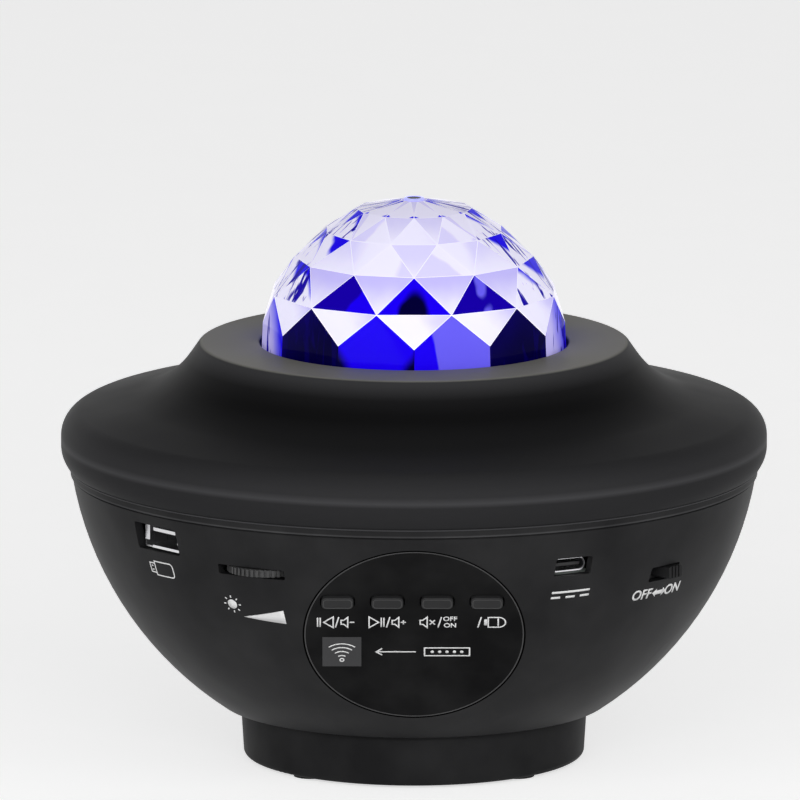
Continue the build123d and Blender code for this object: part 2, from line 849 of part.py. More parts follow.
# Lower shell: the bowl's outer form, then its hollow, then what stands inside it
with BuildPart() as bowl_form:
    with BuildSketch(Plane.XZ) as bowl_section:
        band_foot_radius = sphere_reach(bowl_radius, band_z)
        band_radius = band_foot_radius + band_proud
        groove_z = band_z - band_groove
        groove_radius = sphere_reach(bowl_radius, groove_z)
        low_angle = -degrees(atan2(bowl_centre_z - foot_height, underside_radius))
        high_angle = -degrees(atan2(bowl_centre_z - groove_z, groove_radius))
        with BuildLine() as bowl_outline:
            CenterArc((0, bowl_centre_z), bowl_radius, low_angle, high_angle - low_angle)
            Polyline(
                (groove_radius, groove_z),
                (groove_radius - band_groove, band_z),
                (band_radius, band_z),
                (band_radius, seam_z),
                (0, seam_z),
                (0, foot_height),
                (underside_radius, foot_height),
            )
        make_face()
        low_corner = bowl_section.vertices().sort_by_distance((underside_radius, foot_height))[0]
        fillet(low_corner, underside_fillet)
    revolve(axis=Axis.Z)
    split(bisect_by=panel_face, keep=Keep.BOTTOM)

with BuildPart() as bowl_hollow:
    with BuildSketch(Plane.XZ) as hollow_section:
        hollow_floor_radius = sphere_reach(cavity_radius, floor_z)
        hollow_top_radius = sphere_reach(cavity_radius, seam_z)
        floor_angle = -degrees(atan2(bowl_centre_z - floor_z, hollow_floor_radius))
        top_angle = -degrees(atan2(bowl_centre_z - seam_z, hollow_top_radius))
        with BuildLine() as hollow_arc:
            CenterArc((0, bowl_centre_z), cavity_radius, floor_angle, top_angle - floor_angle)
            Polyline(
                (hollow_top_radius, seam_z),
                (hollow_top_radius, seam_z + overrun),
                (0, seam_z + overrun),
                (0, floor_z),
                (hollow_floor_radius, floor_z),
            )
        make_face()
    revolve(axis=Axis.Z)

with BuildPart() as bowl_fittings:
    with BuildSketch(panel_face) as tub:
        Circle(tub_radius)
    extrude(amount=-tub_depth)
    with BuildSketch(Plane.XY.offset(foot_height)) as pillars:
        with PolarLocations(pillar_circle, 4, start_angle=45):
            Circle(pillar_radius)
    extrude(amount=pillar_top_z - foot_height)
    with BuildSketch(Plane.XY.offset(foot_height)) as foot_bosses:
        with PolarLocations(foot_screw_circle, 4):
            Circle(foot_post_radius)
    extrude(amount=wall + foot_boss_height)
    with BuildSketch(Plane.XY.offset(foot_height)) as standoffs:
        with Locations(*standoff_places):
            Circle(standoff_radius)
    extrude(amount=board_under_z - foot_height)
    add(bowl_form.part, mode=Mode.INTERSECT)

with BuildPart() as lower_shell:
    add(bowl_form.part)
    add(bowl_hollow.part, mode=Mode.SUBTRACT)
    with BuildSketch(Plane.XY.offset(seam_z)) as tongue:
        Circle(tongue_radius)
        Circle(tongue_radius - tongue_thickness, mode=Mode.SUBTRACT)
    extrude(amount=tongue_height)
    add(bowl_fittings.part)
    with BuildSketch(panel_face) as panel_seat:
        Circle(seat_radius)
    extrude(amount=-panel_thickness, mode=Mode.SUBTRACT)
    with BuildSketch(panel_face) as panel_window:
        Circle(ledge_radius)
        with Locations((button_row_x, button_row_y)):
            Rectangle(button_row_width + 2 * button_gap, button_window_height)
    extrude(amount=-tub_depth - overrun, mode=Mode.SUBTRACT)
    with BuildSketch(panel_face.offset(-tub_depth)) as panel_screw_holes:
        for angle in panel_screw_angles:
            with PolarLocations(panel_screw_circle, 1, start_angle=angle):
                Circle(small_screw_radius + screw_clearance)
    extrude(amount=ledge_thickness, mode=Mode.SUBTRACT)
    with BuildSketch(Plane.XY.offset(foot_height)) as pillar_bores:
        with PolarLocations(pillar_circle, 4, start_angle=45):
            Circle(screw_head_radius + screw_clearance)
    extrude(amount=pillar_top_z - foot_height - pillar_roof, mode=Mode.SUBTRACT)
    with BuildSketch(Plane.XY.offset(foot_height)) as pillar_holes:
        with PolarLocations(pillar_circle, 4, start_angle=45):
            Circle(screw_radius + screw_clearance)
    extrude(amount=pillar_top_z - foot_height, mode=Mode.SUBTRACT)
    with BuildSketch(Plane.XY.offset(foot_height)) as foot_pilots:
        with PolarLocations(foot_screw_circle, 4):
            Circle(screw_radius + screw_fit)
    extrude(amount=wall + foot_boss_height, mode=Mode.SUBTRACT)
    with BuildSketch(Plane.XY.offset(foot_height)) as floor_opening:
        Circle(floor_opening_radius)
    extrude(amount=wall, mode=Mode.SUBTRACT)
    with BuildSketch(Plane.XY.offset(board_under_z)) as standoff_pilots:
        with Locations(*standoff_places):
            Circle(screw_radius + screw_fit)
    extrude(amount=-board_mount_length, mode=Mode.SUBTRACT)
    for opening_plane, opening_width, opening_height in port_openings:
        with BuildSketch(opening_plane) as port_opening:
            RectangleRounded(opening_width, opening_height, opening_corner)
        extrude(amount=-port_cut_depth, mode=Mode.SUBTRACT)
lower_shell.part.label = "lower_shell"
export_step(lower_shell.part, "parts/lower_shell.step")

pillar_screw = make_screw(screw_radius, pillar_screw_length, screw_head_radius, screw_head_height)
with BuildPart() as pillar_screws:
    with PolarLocations(pillar_circle, 4, start_angle=45):
        with Locations((0, 0, pillar_top_z - pillar_roof)):
            add(pillar_screw)
pillar_screws.part.label = "pillar_screws"
export_step(pillar_screws.part, "parts/pillar_screws.step")

# Foot: a shallow cup with the speaker's grille in its bottom, screwed up into the bowl
foot_low_radius = foot_radius - foot_draft
foot_plate_z = pad_proud + foot_plate
pad_circle = foot_low_radius - foot_edge_fillet - pad_radius - pad_inset
flange_under_z = foot_plate_z + gasket_thickness
speaker_screw_circle = speaker_radius - speaker_screw_inset
with BuildPart() as base_foot:
    with BuildSketch(Plane.XZ) as foot_section:
        with BuildLine() as foot_outline:
            Polyline(
                (0, pad_proud),
                (foot_low_radius, pad_proud),
                (foot_radius, foot_height),
                (foot_radius - wall, foot_height),
                (foot_low_radius - wall, foot_plate_z),
                (0, foot_plate_z),
                close=True,
            )
        make_face()
        foot_corner = foot_section.vertices().sort_by_distance((foot_low_radius, pad_proud))[0]
        fillet(foot_corner, foot_edge_fillet)
    revolve(axis=Axis.Z)
    with BuildSketch(Plane.XY.offset(pad_proud)) as foot_posts:
        with PolarLocations(foot_screw_circle, 4):
            Circle(foot_post_radius)
    extrude(amount=foot_height - pad_proud)
    with BuildSketch(Plane.XY.offset(foot_plate_z)) as speaker_bosses:
        with PolarLocations(speaker_screw_circle, 4, start_angle=45):
            Circle(speaker_boss_radius)
    extrude(amount=gasket_thickness)
    with BuildSketch(Plane.XY.offset(pad_proud)) as foot_sinks:
        with PolarLocations(foot_screw_circle, 4):
            Circle(screw_head_radius + screw_clearance)
    extrude(amount=foot_screw_sink, mode=Mode.SUBTRACT)
    with BuildSketch(Plane.XY.offset(pad_proud)) as foot_holes:
        with PolarLocations(foot_screw_circle, 4):
            Circle(screw_radius + screw_clearance)
    extrude(amount=foot_height - pad_proud, mode=Mode.SUBTRACT)
    with BuildSketch(Plane.XY.offset(pad_proud)) as pad_seats:
        with PolarLocations(pad_circle, 4, start_angle=45):
            Circle(pad_radius + screw_fit)
    extrude(amount=pad_recess, mode=Mode.SUBTRACT)
    with BuildSketch(Plane.XY.offset(pad_proud)) as grille:
        Circle(grille_hole_radius)
        for ring in range(1, grille_rings):
            with PolarLocations(ring * grille_pitch, 6 * ring):
                Circle(grille_hole_radius)
    extrude(amount=foot_plate, mode=Mode.SUBTRACT)
    with BuildSketch(Plane.XY.offset(flange_under_z)) as speaker_pilots:
        with PolarLocations(speaker_screw_circle, 4, start_angle=45):
            Circle(small_screw_radius + screw_fit)
    extrude(amount=-speaker_screw_length + speaker_flange, mode=Mode.SUBTRACT)
base_foot.part.label = "base_foot"
export_step(base_foot.part, "parts/base_foot.step")

with BuildPart() as rubber_pads:
    with BuildSketch() as pad_faces:
        with PolarLocations(pad_circle, 4, start_angle=45):
            Circle(pad_radius)
    extrude(amount=pad_proud + pad_recess)
rubber_pads.part.label = "rubber_pads"
export_step(rubber_pads.part, "parts/rubber_pads.step")

foot_screw = make_screw(screw_radius, foot_screw_length, screw_head_radius, screw_head_height)
with BuildPart() as foot_screws:
    with PolarLocations(foot_screw_circle, 4):
        with Locations((0, 0, pad_proud + foot_screw_sink)):
            add(foot_screw)
foot_screws.part.label = "foot_screws"
export_step(foot_screws.part, "parts/foot_screws.step")

# Speaker, facing down: gasket, pressed basket, cone with its dust cap, magnet
gasket_radius = speaker_screw_circle - speaker_boss_radius - seat_gap
with BuildPart() as speaker_gasket:
    with BuildSketch(Plane.XY.offset(foot_plate_z)) as gasket_ring:
        Circle(gasket_radius)
        Circle(gasket_radius - gasket_width, mode=Mode.SUBTRACT)
    extrude(amount=gasket_thickness)
speaker_gasket.part.label = "speaker_gasket"
export_step(speaker_gasket.part, "parts/speaker_gasket.step")

basket_radius = speaker_radius - speaker_flange_width
basket_z = flange_under_z + speaker_flange
basket_bend_z = basket_z + surround_height
basket_top_z = flange_under_z + speaker_depth
window_radius = (basket_radius + speaker_neck_radius) / 2
with BuildPart() as speaker_basket:
    with BuildSketch(Plane.XZ) as basket_section:
        with BuildLine() as basket_outline:
            Polyline(
                (basket_radius - speaker_sheet, flange_under_z),
                (speaker_radius, flange_under_z),
                (speaker_radius, basket_z),
                (basket_radius, basket_z),
                (basket_radius, basket_bend_z),
                (speaker_neck_radius, basket_top_z - speaker_sheet),
                (speaker_neck_radius, basket_top_z),
                (cone_throat_radius + cone_sheet, basket_top_z),
                (cone_throat_radius + cone_sheet, basket_top_z - speaker_sheet),
                (speaker_neck_radius - speaker_sheet, basket_top_z - speaker_sheet),
                (basket_radius - speaker_sheet, basket_bend_z),
                close=True,
            )
        make_face()
    revolve(axis=Axis.Z)
    with BuildSketch(Plane.XY.offset(basket_z)) as basket_windows:
        with PolarLocations(window_radius, speaker_windows):
            Circle(speaker_window_radius)
    extrude(amount=speaker_depth - speaker_flange - speaker_sheet, mode=Mode.SUBTRACT)
    with BuildSketch(Plane.XY.offset(flange_under_z)) as flange_holes:
        with PolarLocations(speaker_screw_circle, 4, start_angle=45):
            Circle(small_screw_radius + screw_clearance)
    extrude(amount=speaker_flange, mode=Mode.SUBTRACT)
speaker_basket.part.label = "speaker_basket"
export_step(speaker_basket.part, "parts/speaker_basket.step")

cone_radius = basket_radius - speaker_sheet - seat_gap
cone_mouth_radius = cone_radius - 2 * surround_height
throat_z = flange_under_z + cone_depth
cap_bend = (cone_throat_radius**2 + cap_height**2) / (2 * cap_height)
cap_turn = asin(cone_throat_radius / cap_bend) / 2
cap_middle_rise = cap_bend * (1 - cos(cap_turn)) - cap_height
with BuildPart() as speaker_cone:
    with BuildSketch(Plane.XZ) as cone_section:
        with BuildLine() as cone_outline:
            for lift in (0, cone_sheet):
                rim_z = flange_under_z + lift
                throat = (cone_throat_radius, throat_z + lift)
                roll_top = (cone_radius - surround_height, rim_z + surround_height)
                cap_middle = (cap_bend * sin(cap_turn), throat_z + lift + cap_middle_rise)
                ThreePointArc((cone_radius, rim_z), roll_top, (cone_mouth_radius, rim_z))
                Line((cone_mouth_radius, rim_z), throat)
                ThreePointArc(throat, cap_middle, (0, throat_z + lift - cap_height))
            Line((cone_radius, flange_under_z), (cone_radius, flange_under_z + cone_sheet))
            Line((0, throat_z - cap_height), (0, throat_z - cap_height + cone_sheet))
        make_face()
    revolve(axis=Axis.Z)
    with BuildSketch(Plane.XY.offset(throat_z)) as coil_former:
        Circle(cone_throat_radius)
        Circle(cone_throat_radius - cone_sheet, mode=Mode.SUBTRACT)
    extrude(amount=basket_top_z - throat_z)
speaker_cone.part.label = "speaker_cone"
export_step(speaker_cone.part, "parts/speaker_cone.step")

with BuildPart() as speaker_magnet:
    with BuildSketch(Plane.XY.offset(basket_top_z)) as magnet_face:
        Circle(magnet_radius)
    extrude(amount=magnet_height)
    with BuildSketch(Plane.XY.offset(basket_top_z + magnet_height)) as yoke_face:
        Circle(yoke_radius)
    extrude(amount=yoke_height)
speaker_magnet.part.label = "speaker_magnet"
export_step(speaker_magnet.part, "parts/speaker_magnet.step")

speaker_screw = make_screw(small_screw_radius, speaker_screw_length, small_head_radius, small_head_height)
with BuildPart() as speaker_screws:
    with PolarLocations(speaker_screw_circle, 4, start_angle=45):
        with Locations(Location((0, 0, basket_z), (180, 0, 0))):
            add(speaker_screw)
speaker_screws.part.label = "speaker_screws"
export_step(speaker_screws.part, "parts/speaker_screws.step")

# Control panel: a plate flush with the facet, with four button holes and a pocket for the window
plunger_bore_depth = plunger_top_depth + plunger_length + button_travel + seat_gap - tact_top_depth
ir_place = (ir_window_x, ir_window_y)
ir_pocket_size = ir_window_size + 2 * ir_window_gap
ir_hole_size = ir_window_size - 2 * ir_window_ledge
with BuildPart() as control_panel:
    with BuildSketch(panel_face) as panel_disc:
        Circle(panel_radius)
        with Locations(*button_places):
            hole_width = button_width + 2 * button_gap
            hole_height = button_height + 2 * button_gap
            RectangleRounded(hole_width, hole_height, button_corner + button_gap, mode=Mode.SUBTRACT)
        with Locations(ir_place):
            Rectangle(ir_hole_size, ir_hole_size, mode=Mode.SUBTRACT)
    extrude(amount=-panel_thickness)
    with BuildSketch(panel_face) as window_pocket:
        with Locations(ir_place):
            Rectangle(ir_pocket_size, ir_pocket_size)
    extrude(amount=-ir_window_thickness, mode=Mode.SUBTRACT)
    with BuildSketch(panel_face.offset(-panel_thickness)) as board_posts:
        with Locations(*board_post_places):
            Circle(board_post_radius)
    extrude(amount=panel_thickness - button_board_depth)
    with BuildSketch(panel_face.offset(-button_board_depth)) as board_post_pilots:
        with Locations(*board_post_places):
            Circle(small_screw_radius + screw_fit)
    extrude(amount=board_screw_length - button_board_thickness, mode=Mode.SUBTRACT)
    with BuildSketch(panel_face.offset(-panel_thickness)) as panel_pilots:
        for angle in panel_screw_angles:
            with PolarLocations(panel_screw_circle, 1, start_angle=angle):
                Circle(small_screw_radius + screw_fit)
    extrude(amount=panel_screw_length - ledge_thickness, mode=Mode.SUBTRACT)
control_panel.part.label = "control_panel"
export_step(control_panel.part, "parts/control_panel.step")

panel_screw = make_screw(small_screw_radius, panel_screw_length, small_head_radius, small_head_height)
panel_screw_plane = panel_face.offset(-tub_depth)
with BuildPart(panel_screw_plane) as panel_screws:
    for angle in panel_screw_angles:
        with PolarLocations(panel_screw_circle, 1, start_angle=angle):
            add(panel_screw)
panel_screws.part.label = "panel_screws"
export_step(panel_screws.part, "parts/panel_screws.step")

with BuildPart() as ir_window:
    with BuildSketch(panel_face) as window_face:
        with Locations(ir_place):
            Rectangle(ir_window_size, ir_window_size)
    extrude(amount=-ir_window_thickness)
ir_window.part.label = "ir_window"
export_step(ir_window.part, "parts/ir_window.step")

# Buttons: cap, retaining flange and stem in one, each with the plunger of the switch behind it
for button_name, button_place in zip(("previous", "play", "mute", "source"), button_places):
    with BuildPart() as button:
        with BuildSketch(panel_face.offset(button_proud)) as cap_face:
            with Locations(button_place):
                RectangleRounded(button_width, button_height, button_corner)
        extrude(amount=-button_proud - flange_top_depth)
        crown_edges = button.faces().sort_by(Axis(panel_face.origin, panel_face.z_dir))[-1].edges()
        fillet(crown_edges, button_crown)
        with BuildSketch(panel_face.offset(-flange_top_depth)) as flange_face:
            with Locations(button_place):
                Rectangle(button_width, button_height + 2 * button_flange_lap)
        extrude(amount=-button_flange)
        with BuildSketch(panel_face.offset(-flange_depth)) as stem_face:
            with Locations(button_place):
                Circle(button_stem_radius)
        extrude(amount=-button_stem_length)
    button.part.label = f"{button_name}_button"
    export_step(button.part, f"parts/{button_name}_button.step")
    with BuildPart() as plunger:
        with BuildSketch(panel_face.offset(-plunger_top_depth)) as plunger_face:
            with Locations(button_place):
                Circle(plunger_radius)
        extrude(amount=-plunger_length)
    plunger.part.label = f"{button_name}_plunger"
    export_step(plunger.part, f"parts/{button_name}_plunger.step")

# Button board with its four switches and the remote-control receiver
with BuildPart() as button_board:
    with BuildSketch(panel_face.offset(-button_board_depth)) as button_board_face:
        with Locations((0, button_board_y)):
            RectangleRounded(button_board_width, button_board_height, button_board_corner)
        with Locations(*board_post_places):
            Circle(small_screw_radius + screw_clearance, mode=Mode.SUBTRACT)
    extrude(amount=-button_board_thickness)
button_board.part.label = "button_board"
export_step(button_board.part, "parts/button_board.step")

with BuildPart() as tact_switches:
    with BuildSketch(panel_face.offset(-tact_top_depth)) as tact_faces:
        with Locations(*button_places):
            Rectangle(tact_size, tact_size)
    extrude(amount=-tact_height)
    with BuildSketch(panel_face.offset(-tact_top_depth)) as tact_bores:
        with Locations(*button_places):
            Circle(plunger_radius + plunger_gap)
    extrude(amount=-plunger_bore_depth, mode=Mode.SUBTRACT)
tact_switches.part.label = "tact_switches"
export_step(tact_switches.part, "parts/tact_switches.step")

with BuildPart() as ir_receiver:
    with BuildSketch(panel_face.offset(-button_board_depth)) as receiver_face:
        with Locations(ir_place):
            Rectangle(ir_receiver_width, ir_receiver_height)
    extrude(amount=ir_receiver_depth - ir_lens_radius)
    with BuildSketch(panel_face.offset(-button_board_depth)) as receiver_lens:
        with Locations(ir_place):
            Circle(ir_lens_radius)
    extrude(amount=ir_receiver_depth)
    lens_edge = ir_receiver.faces().sort_by(Axis(panel_face.origin, panel_face.z_dir))[-1].edges()
    fillet(lens_edge, ir_lens_radius / 2)
ir_receiver.part.label = "ir_receiver"
export_step(ir_receiver.part, "parts/ir_receiver.step")

board_screw = make_screw(small_screw_radius, board_screw_length, small_head_radius, small_head_height)
board_back = panel_face.offset(-button_board_depth - button_board_thickness)
with BuildPart(board_back) as button_board_screws:
    with Locations(*board_post_places):
        add(board_screw)
button_board_screws.part.label = "button_board_screws"
export_step(button_board_screws.part, "parts/button_board_screws.step")

# Main board: a sector of a ring, notched for the panel and for the dimmer's wheel
dimmer_place = ring_point(dimmer_azimuth, dimmer_distance)
board_notch_radius = dimmer_radius + dimmer_notch_gap
with BuildPart() as main_board:
    with BuildSketch(Plane.XY.offset(board_under_z)) as board_face:
        with BuildLine() as board_outline:
            outer_arc = CenterArc((0, 0), board_radius, front_angle - board_sector, 2 * board_sector)
            inner_arc = CenterArc((0, 0), board_inner_radius, front_angle - board_sector, 2 * board_sector)
            Line(outer_arc @ 0, inner_arc @ 0)
            Line(outer_arc @ 1, inner_arc @ 1)
        make_face()
        with Locations((0, -board_notch_y - board_radius / 2)):
            Rectangle(board_notch_width, board_radius, mode=Mode.SUBTRACT)
        with Locations(dimmer_place):
            Circle(board_notch_radius, mode=Mode.SUBTRACT)
        with Locations(ring_point(dimmer_azimuth, dimmer_distance + board_radius / 2)):
            notch_width = 2 * board_notch_radius
            Rectangle(notch_width, board_radius, rotation=dimmer_azimuth, mode=Mode.SUBTRACT)
        with Locations((dimmer_place[0] / 2, dimmer_place[1] - board_radius / 2)):
            Rectangle(-dimmer_place[0], board_radius, mode=Mode.SUBTRACT)
        with Locations(*standoff_places):
            Circle(screw_radius + screw_clearance, mode=Mode.SUBTRACT)
    extrude(amount=board_thickness)
main_board.part.label = "main_board"
export_step(main_board.part, "parts/main_board.step")

board_mount_screw = make_screw(screw_radius, board_mount_length, screw_head_radius, screw_head_height)
with BuildPart() as board_screws:
    for standoff_x, standoff_y in standoff_places:
        with Locations(Location((standoff_x, standoff_y, board_z), (180, 0, 0))):
            add(board_mount_screw)
board_screws.part.label = "board_screws"
export_step(board_screws.part, "parts/board_screws.step")

with BuildPart() as board_chips:
    with BuildSketch(Plane.XY.offset(board_z)) as chip_faces:
        with Locations((0, -board_inner_radius - chip_inset)):
            with GridLocations(chip_pitch, 0, 2, 1):
                Rectangle(chip_size, chip_size)
    extrude(amount=chip_height)
board_chips.part.label = "board_chips"
export_step(board_chips.part, "parts/board_chips.step")

with BuildPart() as capacitors:
    with BuildSketch(Plane.XY.offset(board_z)) as capacitor_faces:
        for azimuth in (-capacitor_azimuth, capacitor_azimuth):
            with Locations(ring_point(azimuth, standoff_circle - capacitor_gap)):
                Circle(capacitor_radius)
    extrude(amount=capacitor_height)
capacitors.part.label = "capacitors"
export_step(capacitors.part, "parts/capacitors.step")

# Memory-stick socket: folded steel shell, and a moulded block that raises it off the board
usb_face = port_plane(usb_azimuth, usb_z, usb_mouth)
usb_inner_height = usb_height - 2 * usb_sheet
usb_inner_width = usb_width - 2 * usb_sheet
usb_lift = usb_z - usb_height / 2 - board_z
usb_tongue_y = usb_inner_height / 2 - usb_tongue_drop - usb_tongue_thickness / 2
with BuildPart() as usb_socket_shell:
    with BuildSketch(usb_face) as usb_shell_face:
        RectangleRounded(usb_width, usb_height, opening_corner)
        Rectangle(usb_inner_width, usb_inner_height, mode=Mode.SUBTRACT)
    extrude(amount=-usb_depth)
usb_socket_shell.part.label = "usb_socket_shell"
export_step(usb_socket_shell.part, "parts/usb_socket_shell.step")

with BuildPart() as usb_socket_block:
    with BuildSketch(usb_face.offset(-usb_depth + usb_back)) as usb_plug:
        Rectangle(usb_inner_width, usb_inner_height)
    extrude(amount=-usb_back)
    with BuildSketch(usb_face.offset(-usb_tongue_setback)) as usb_tongue:
        with Locations((0, usb_tongue_y)):
            Rectangle(usb_tongue_width, usb_tongue_thickness)
    extrude(amount=usb_tongue_setback + usb_back - usb_depth)
    with BuildSketch(usb_face.offset(-usb_depth)) as usb_rear:
        with Locations((0, -usb_lift / 2)):
            Rectangle(usb_inner_width, usb_height + usb_lift)
    extrude(amount=-usb_block_rear)
    with BuildSketch(usb_face.offset(-usb_base_setback)) as usb_base:
        with Locations((0, -usb_height / 2 - usb_lift / 2)):
            Rectangle(usb_inner_width, usb_lift)
    extrude(amount=usb_base_setback - usb_depth)
usb_socket_block.part.label = "usb_socket_block"
export_step(usb_socket_block.part, "parts/usb_socket_block.step")

# Power socket: rounded steel shell standing on the board, with its centre tongue
power_face = port_plane(power_azimuth, power_z, power_mouth)
power_inner_width = power_width - 2 * power_sheet
power_inner_height = power_height - 2 * power_sheet
power_inner_corner = power_corner - power_sheet
with BuildPart() as power_socket_shell:
    with BuildSketch(power_face) as power_shell_face:
        RectangleRounded(power_width, power_height, power_corner)
        RectangleRounded(power_inner_width, power_inner_height, power_inner_corner, mode=Mode.SUBTRACT)
    extrude(amount=-power_depth)
power_socket_shell.part.label = "power_socket_shell"
export_step(power_socket_shell.part, "parts/power_socket_shell.step")

with BuildPart() as power_socket_tongue:
    with BuildSketch(power_face.offset(-power_depth + power_back)) as power_plug:
        RectangleRounded(power_inner_width, power_inner_height, power_inner_corner)
    extrude(amount=-power_back)
    with BuildSketch(power_face.offset(-power_tongue_setback)) as power_tongue:
        Rectangle(power_tongue_width, power_tongue_thickness)
    extrude(amount=power_tongue_setback + power_back - power_depth)
power_socket_tongue.part.label = "power_socket_tongue"
export_step(power_socket_tongue.part, "parts/power_socket_tongue.step")

# Slide switch under the board, with its knob in the bowl's window
switch_body_height = 2 * (board_under_z - switch_z)
switch_low_reach = sphere_reach(cavity_radius, switch_z - switch_body_height / 2)
switch_front = sqrt(switch_low_reach**2 - (switch_body_width / 2) ** 2) - switch_body_gap
switch_slot_width = knob_tab_width + switch_travel + 2 * button_gap
switch_face = port_plane(switch_azimuth, switch_z, switch_front)
with BuildPart() as switch_body:
    with BuildSketch(switch_face) as switch_block:
        Rectangle(switch_body_width, switch_body_height)
    extrude(amount=-switch_body_depth)
    with BuildSketch(switch_face) as switch_slot:
        Rectangle(switch_slot_width, switch_slot_height)
    extrude(amount=-switch_slot_depth, mode=Mode.SUBTRACT)
switch_body.part.label = "switch_body"
export_step(switch_body.part, "parts/switch_body.step")

knob_tip = sphere_reach(bowl_radius, switch_z) + knob_proud
knob_face = port_plane(switch_azimuth, switch_z, knob_tip)
knob_place = (switch_travel / 2, 0)
knob_root = knob_tip - switch_front - seat_gap
with BuildPart() as switch_knob:
    with BuildSketch(knob_face) as knob_head:
        with Locations(knob_place):
            RectangleRounded(knob_width, knob_height, opening_corner)
    extrude(amount=-knob_root)
    with BuildSketch(knob_face.offset(-knob_root)) as knob_tab:
        with Locations(knob_place):
            Rectangle(knob_tab_width, knob_tab_thickness)
    extrude(amount=-switch_slot_depth)
    with BuildSketch(knob_face) as knob_grooves:
        with Locations(knob_place):
            with GridLocations(knob_width / (knob_ribs + 1), 0, knob_ribs, 1):
                Rectangle(knob_rib_width, knob_height)
    extrude(amount=-knob_rib_width, mode=Mode.SUBTRACT)
switch_knob.part.label = "switch_knob"
export_step(switch_knob.part, "parts/switch_knob.step")

# Dimmer: base bridging the board's notch, with an axle that carries the notched wheel
wheel_z = dimmer_z - dimmer_thickness / 2
axle_head_z = dimmer_z + dimmer_thickness / 2 - dimmer_dish_depth + seat_gap
dimmer_base_inner = board_notch_radius + dimmer_base_lap
dimmer_cross = (cos(radians(dimmer_azimuth)), sin(radians(dimmer_azimuth)), 0)
dimmer_seat = Plane(origin=(*dimmer_place, board_under_z), x_dir=dimmer_cross)
with BuildPart() as dimmer_body:
    with BuildSketch(dimmer_seat) as dimmer_bridge:
        with Locations((0, (dimmer_base_inner - dimmer_base_outer) / 2)):
            Rectangle(dimmer_base_width, dimmer_base_inner + dimmer_base_outer)
    extrude(amount=-dimmer_base_thickness)
    with BuildSketch(dimmer_seat) as dimmer_collar:
        Circle(dimmer_collar_radius)
    extrude(amount=wheel_z - seat_gap - board_under_z)
    with BuildSketch(dimmer_seat) as dimmer_axle:
        Circle(dimmer_axle_radius)
    extrude(amount=axle_head_z - board_under_z)
    with BuildSketch(dimmer_seat.offset(axle_head_z - board_under_z)) as dimmer_axle_cap:
        Circle(dimmer_axle_head)
    extrude(amount=dimmer_head_height)
dimmer_body.part.label = "dimmer_body"
export_step(dimmer_body.part, "parts/dimmer_body.step")

with BuildPart() as dimmer_wheel:
    with BuildSketch(dimmer_seat.offset(wheel_z - board_under_z)) as wheel_face:
        Circle(dimmer_radius)
        with PolarLocations(dimmer_radius, dimmer_notches):
            Circle(dimmer_notch_radius, mode=Mode.SUBTRACT)
        Circle(dimmer_axle_radius + running_fit, mode=Mode.SUBTRACT)
    extrude(amount=dimmer_thickness)
    with BuildSketch(dimmer_seat.offset(wheel_z + dimmer_thickness - board_under_z)) as wheel_dish:
        Circle(dimmer_dish_radius)
    extrude(amount=-dimmer_dish_depth, mode=Mode.SUBTRACT)
dimmer_wheel.part.label = "dimmer_wheel"
export_step(dimmer_wheel.part, "parts/dimmer_wheel.step")
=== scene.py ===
"""Star projector with a faceted dome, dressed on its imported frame."""

import json
from math import asin, ceil, cos, pi, radians, sin, sqrt

import bmesh
import bpy
from bpy.props import FloatProperty, FloatVectorProperty, IntProperty, PointerProperty
from bpy.types import Operator, Panel, PropertyGroup
from mathutils import Matrix, Vector


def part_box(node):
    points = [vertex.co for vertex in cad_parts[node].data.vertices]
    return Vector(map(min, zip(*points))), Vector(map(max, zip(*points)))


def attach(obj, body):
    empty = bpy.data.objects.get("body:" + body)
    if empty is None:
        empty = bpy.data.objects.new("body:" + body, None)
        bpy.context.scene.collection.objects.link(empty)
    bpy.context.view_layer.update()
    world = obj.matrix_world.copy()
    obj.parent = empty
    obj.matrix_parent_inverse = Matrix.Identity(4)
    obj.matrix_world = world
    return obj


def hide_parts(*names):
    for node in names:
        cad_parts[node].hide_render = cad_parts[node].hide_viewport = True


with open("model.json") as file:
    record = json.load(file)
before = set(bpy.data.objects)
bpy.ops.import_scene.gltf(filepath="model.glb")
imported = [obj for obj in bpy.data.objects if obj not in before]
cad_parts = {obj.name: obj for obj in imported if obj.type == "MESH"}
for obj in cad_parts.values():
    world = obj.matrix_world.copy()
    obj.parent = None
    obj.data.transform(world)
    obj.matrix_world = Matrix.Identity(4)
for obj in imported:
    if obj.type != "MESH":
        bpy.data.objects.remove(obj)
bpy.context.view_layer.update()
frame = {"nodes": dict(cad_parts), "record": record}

bl_info = {
    "name": "Star Projector",
    "version": (1, 0, 0),
    "blender": (4, 5, 0),
    "location": "3D View > Sidebar > Projector",
    "description": "Dresses the packed star projector with its finishes, dome, prints and stage",
    "category": "Object",
}

# Meshes are worked out in millimetres and scaled to metres when they become pieces
TO_METRES = 0.001
TURN = 2 * pi

# Sizes of the solids, which the scene's own pieces follow
WALL = 2.2
RIM_RADIUS = 82.5
BOWL_RADIUS = 81.0
BOWL_CENTRE_Z = 80.6165
SEAM_Z = BOWL_CENTRE_Z - 11.4
RIM_FOOT_RADIUS = 80.6
RIM_FACE_Z = SEAM_Z + 3.1
RIM_TOP_Z = RIM_FACE_Z + 9.2
NECK_FOOT = (57.9, RIM_TOP_Z + 5.7)
COLLAR_RADIUS = 50.0
COLLAR_Z = NECK_FOOT[1] + 11.4
COLLAR_FILLET = 1.6
NECK_FILLET = 24.0
BAND_Z = SEAM_Z - 1.6
DOME_SIDES = 12
DOME_RADIUS = 35.3
DOME_HEIGHT = 33.6
DOME_WALL = 2.8
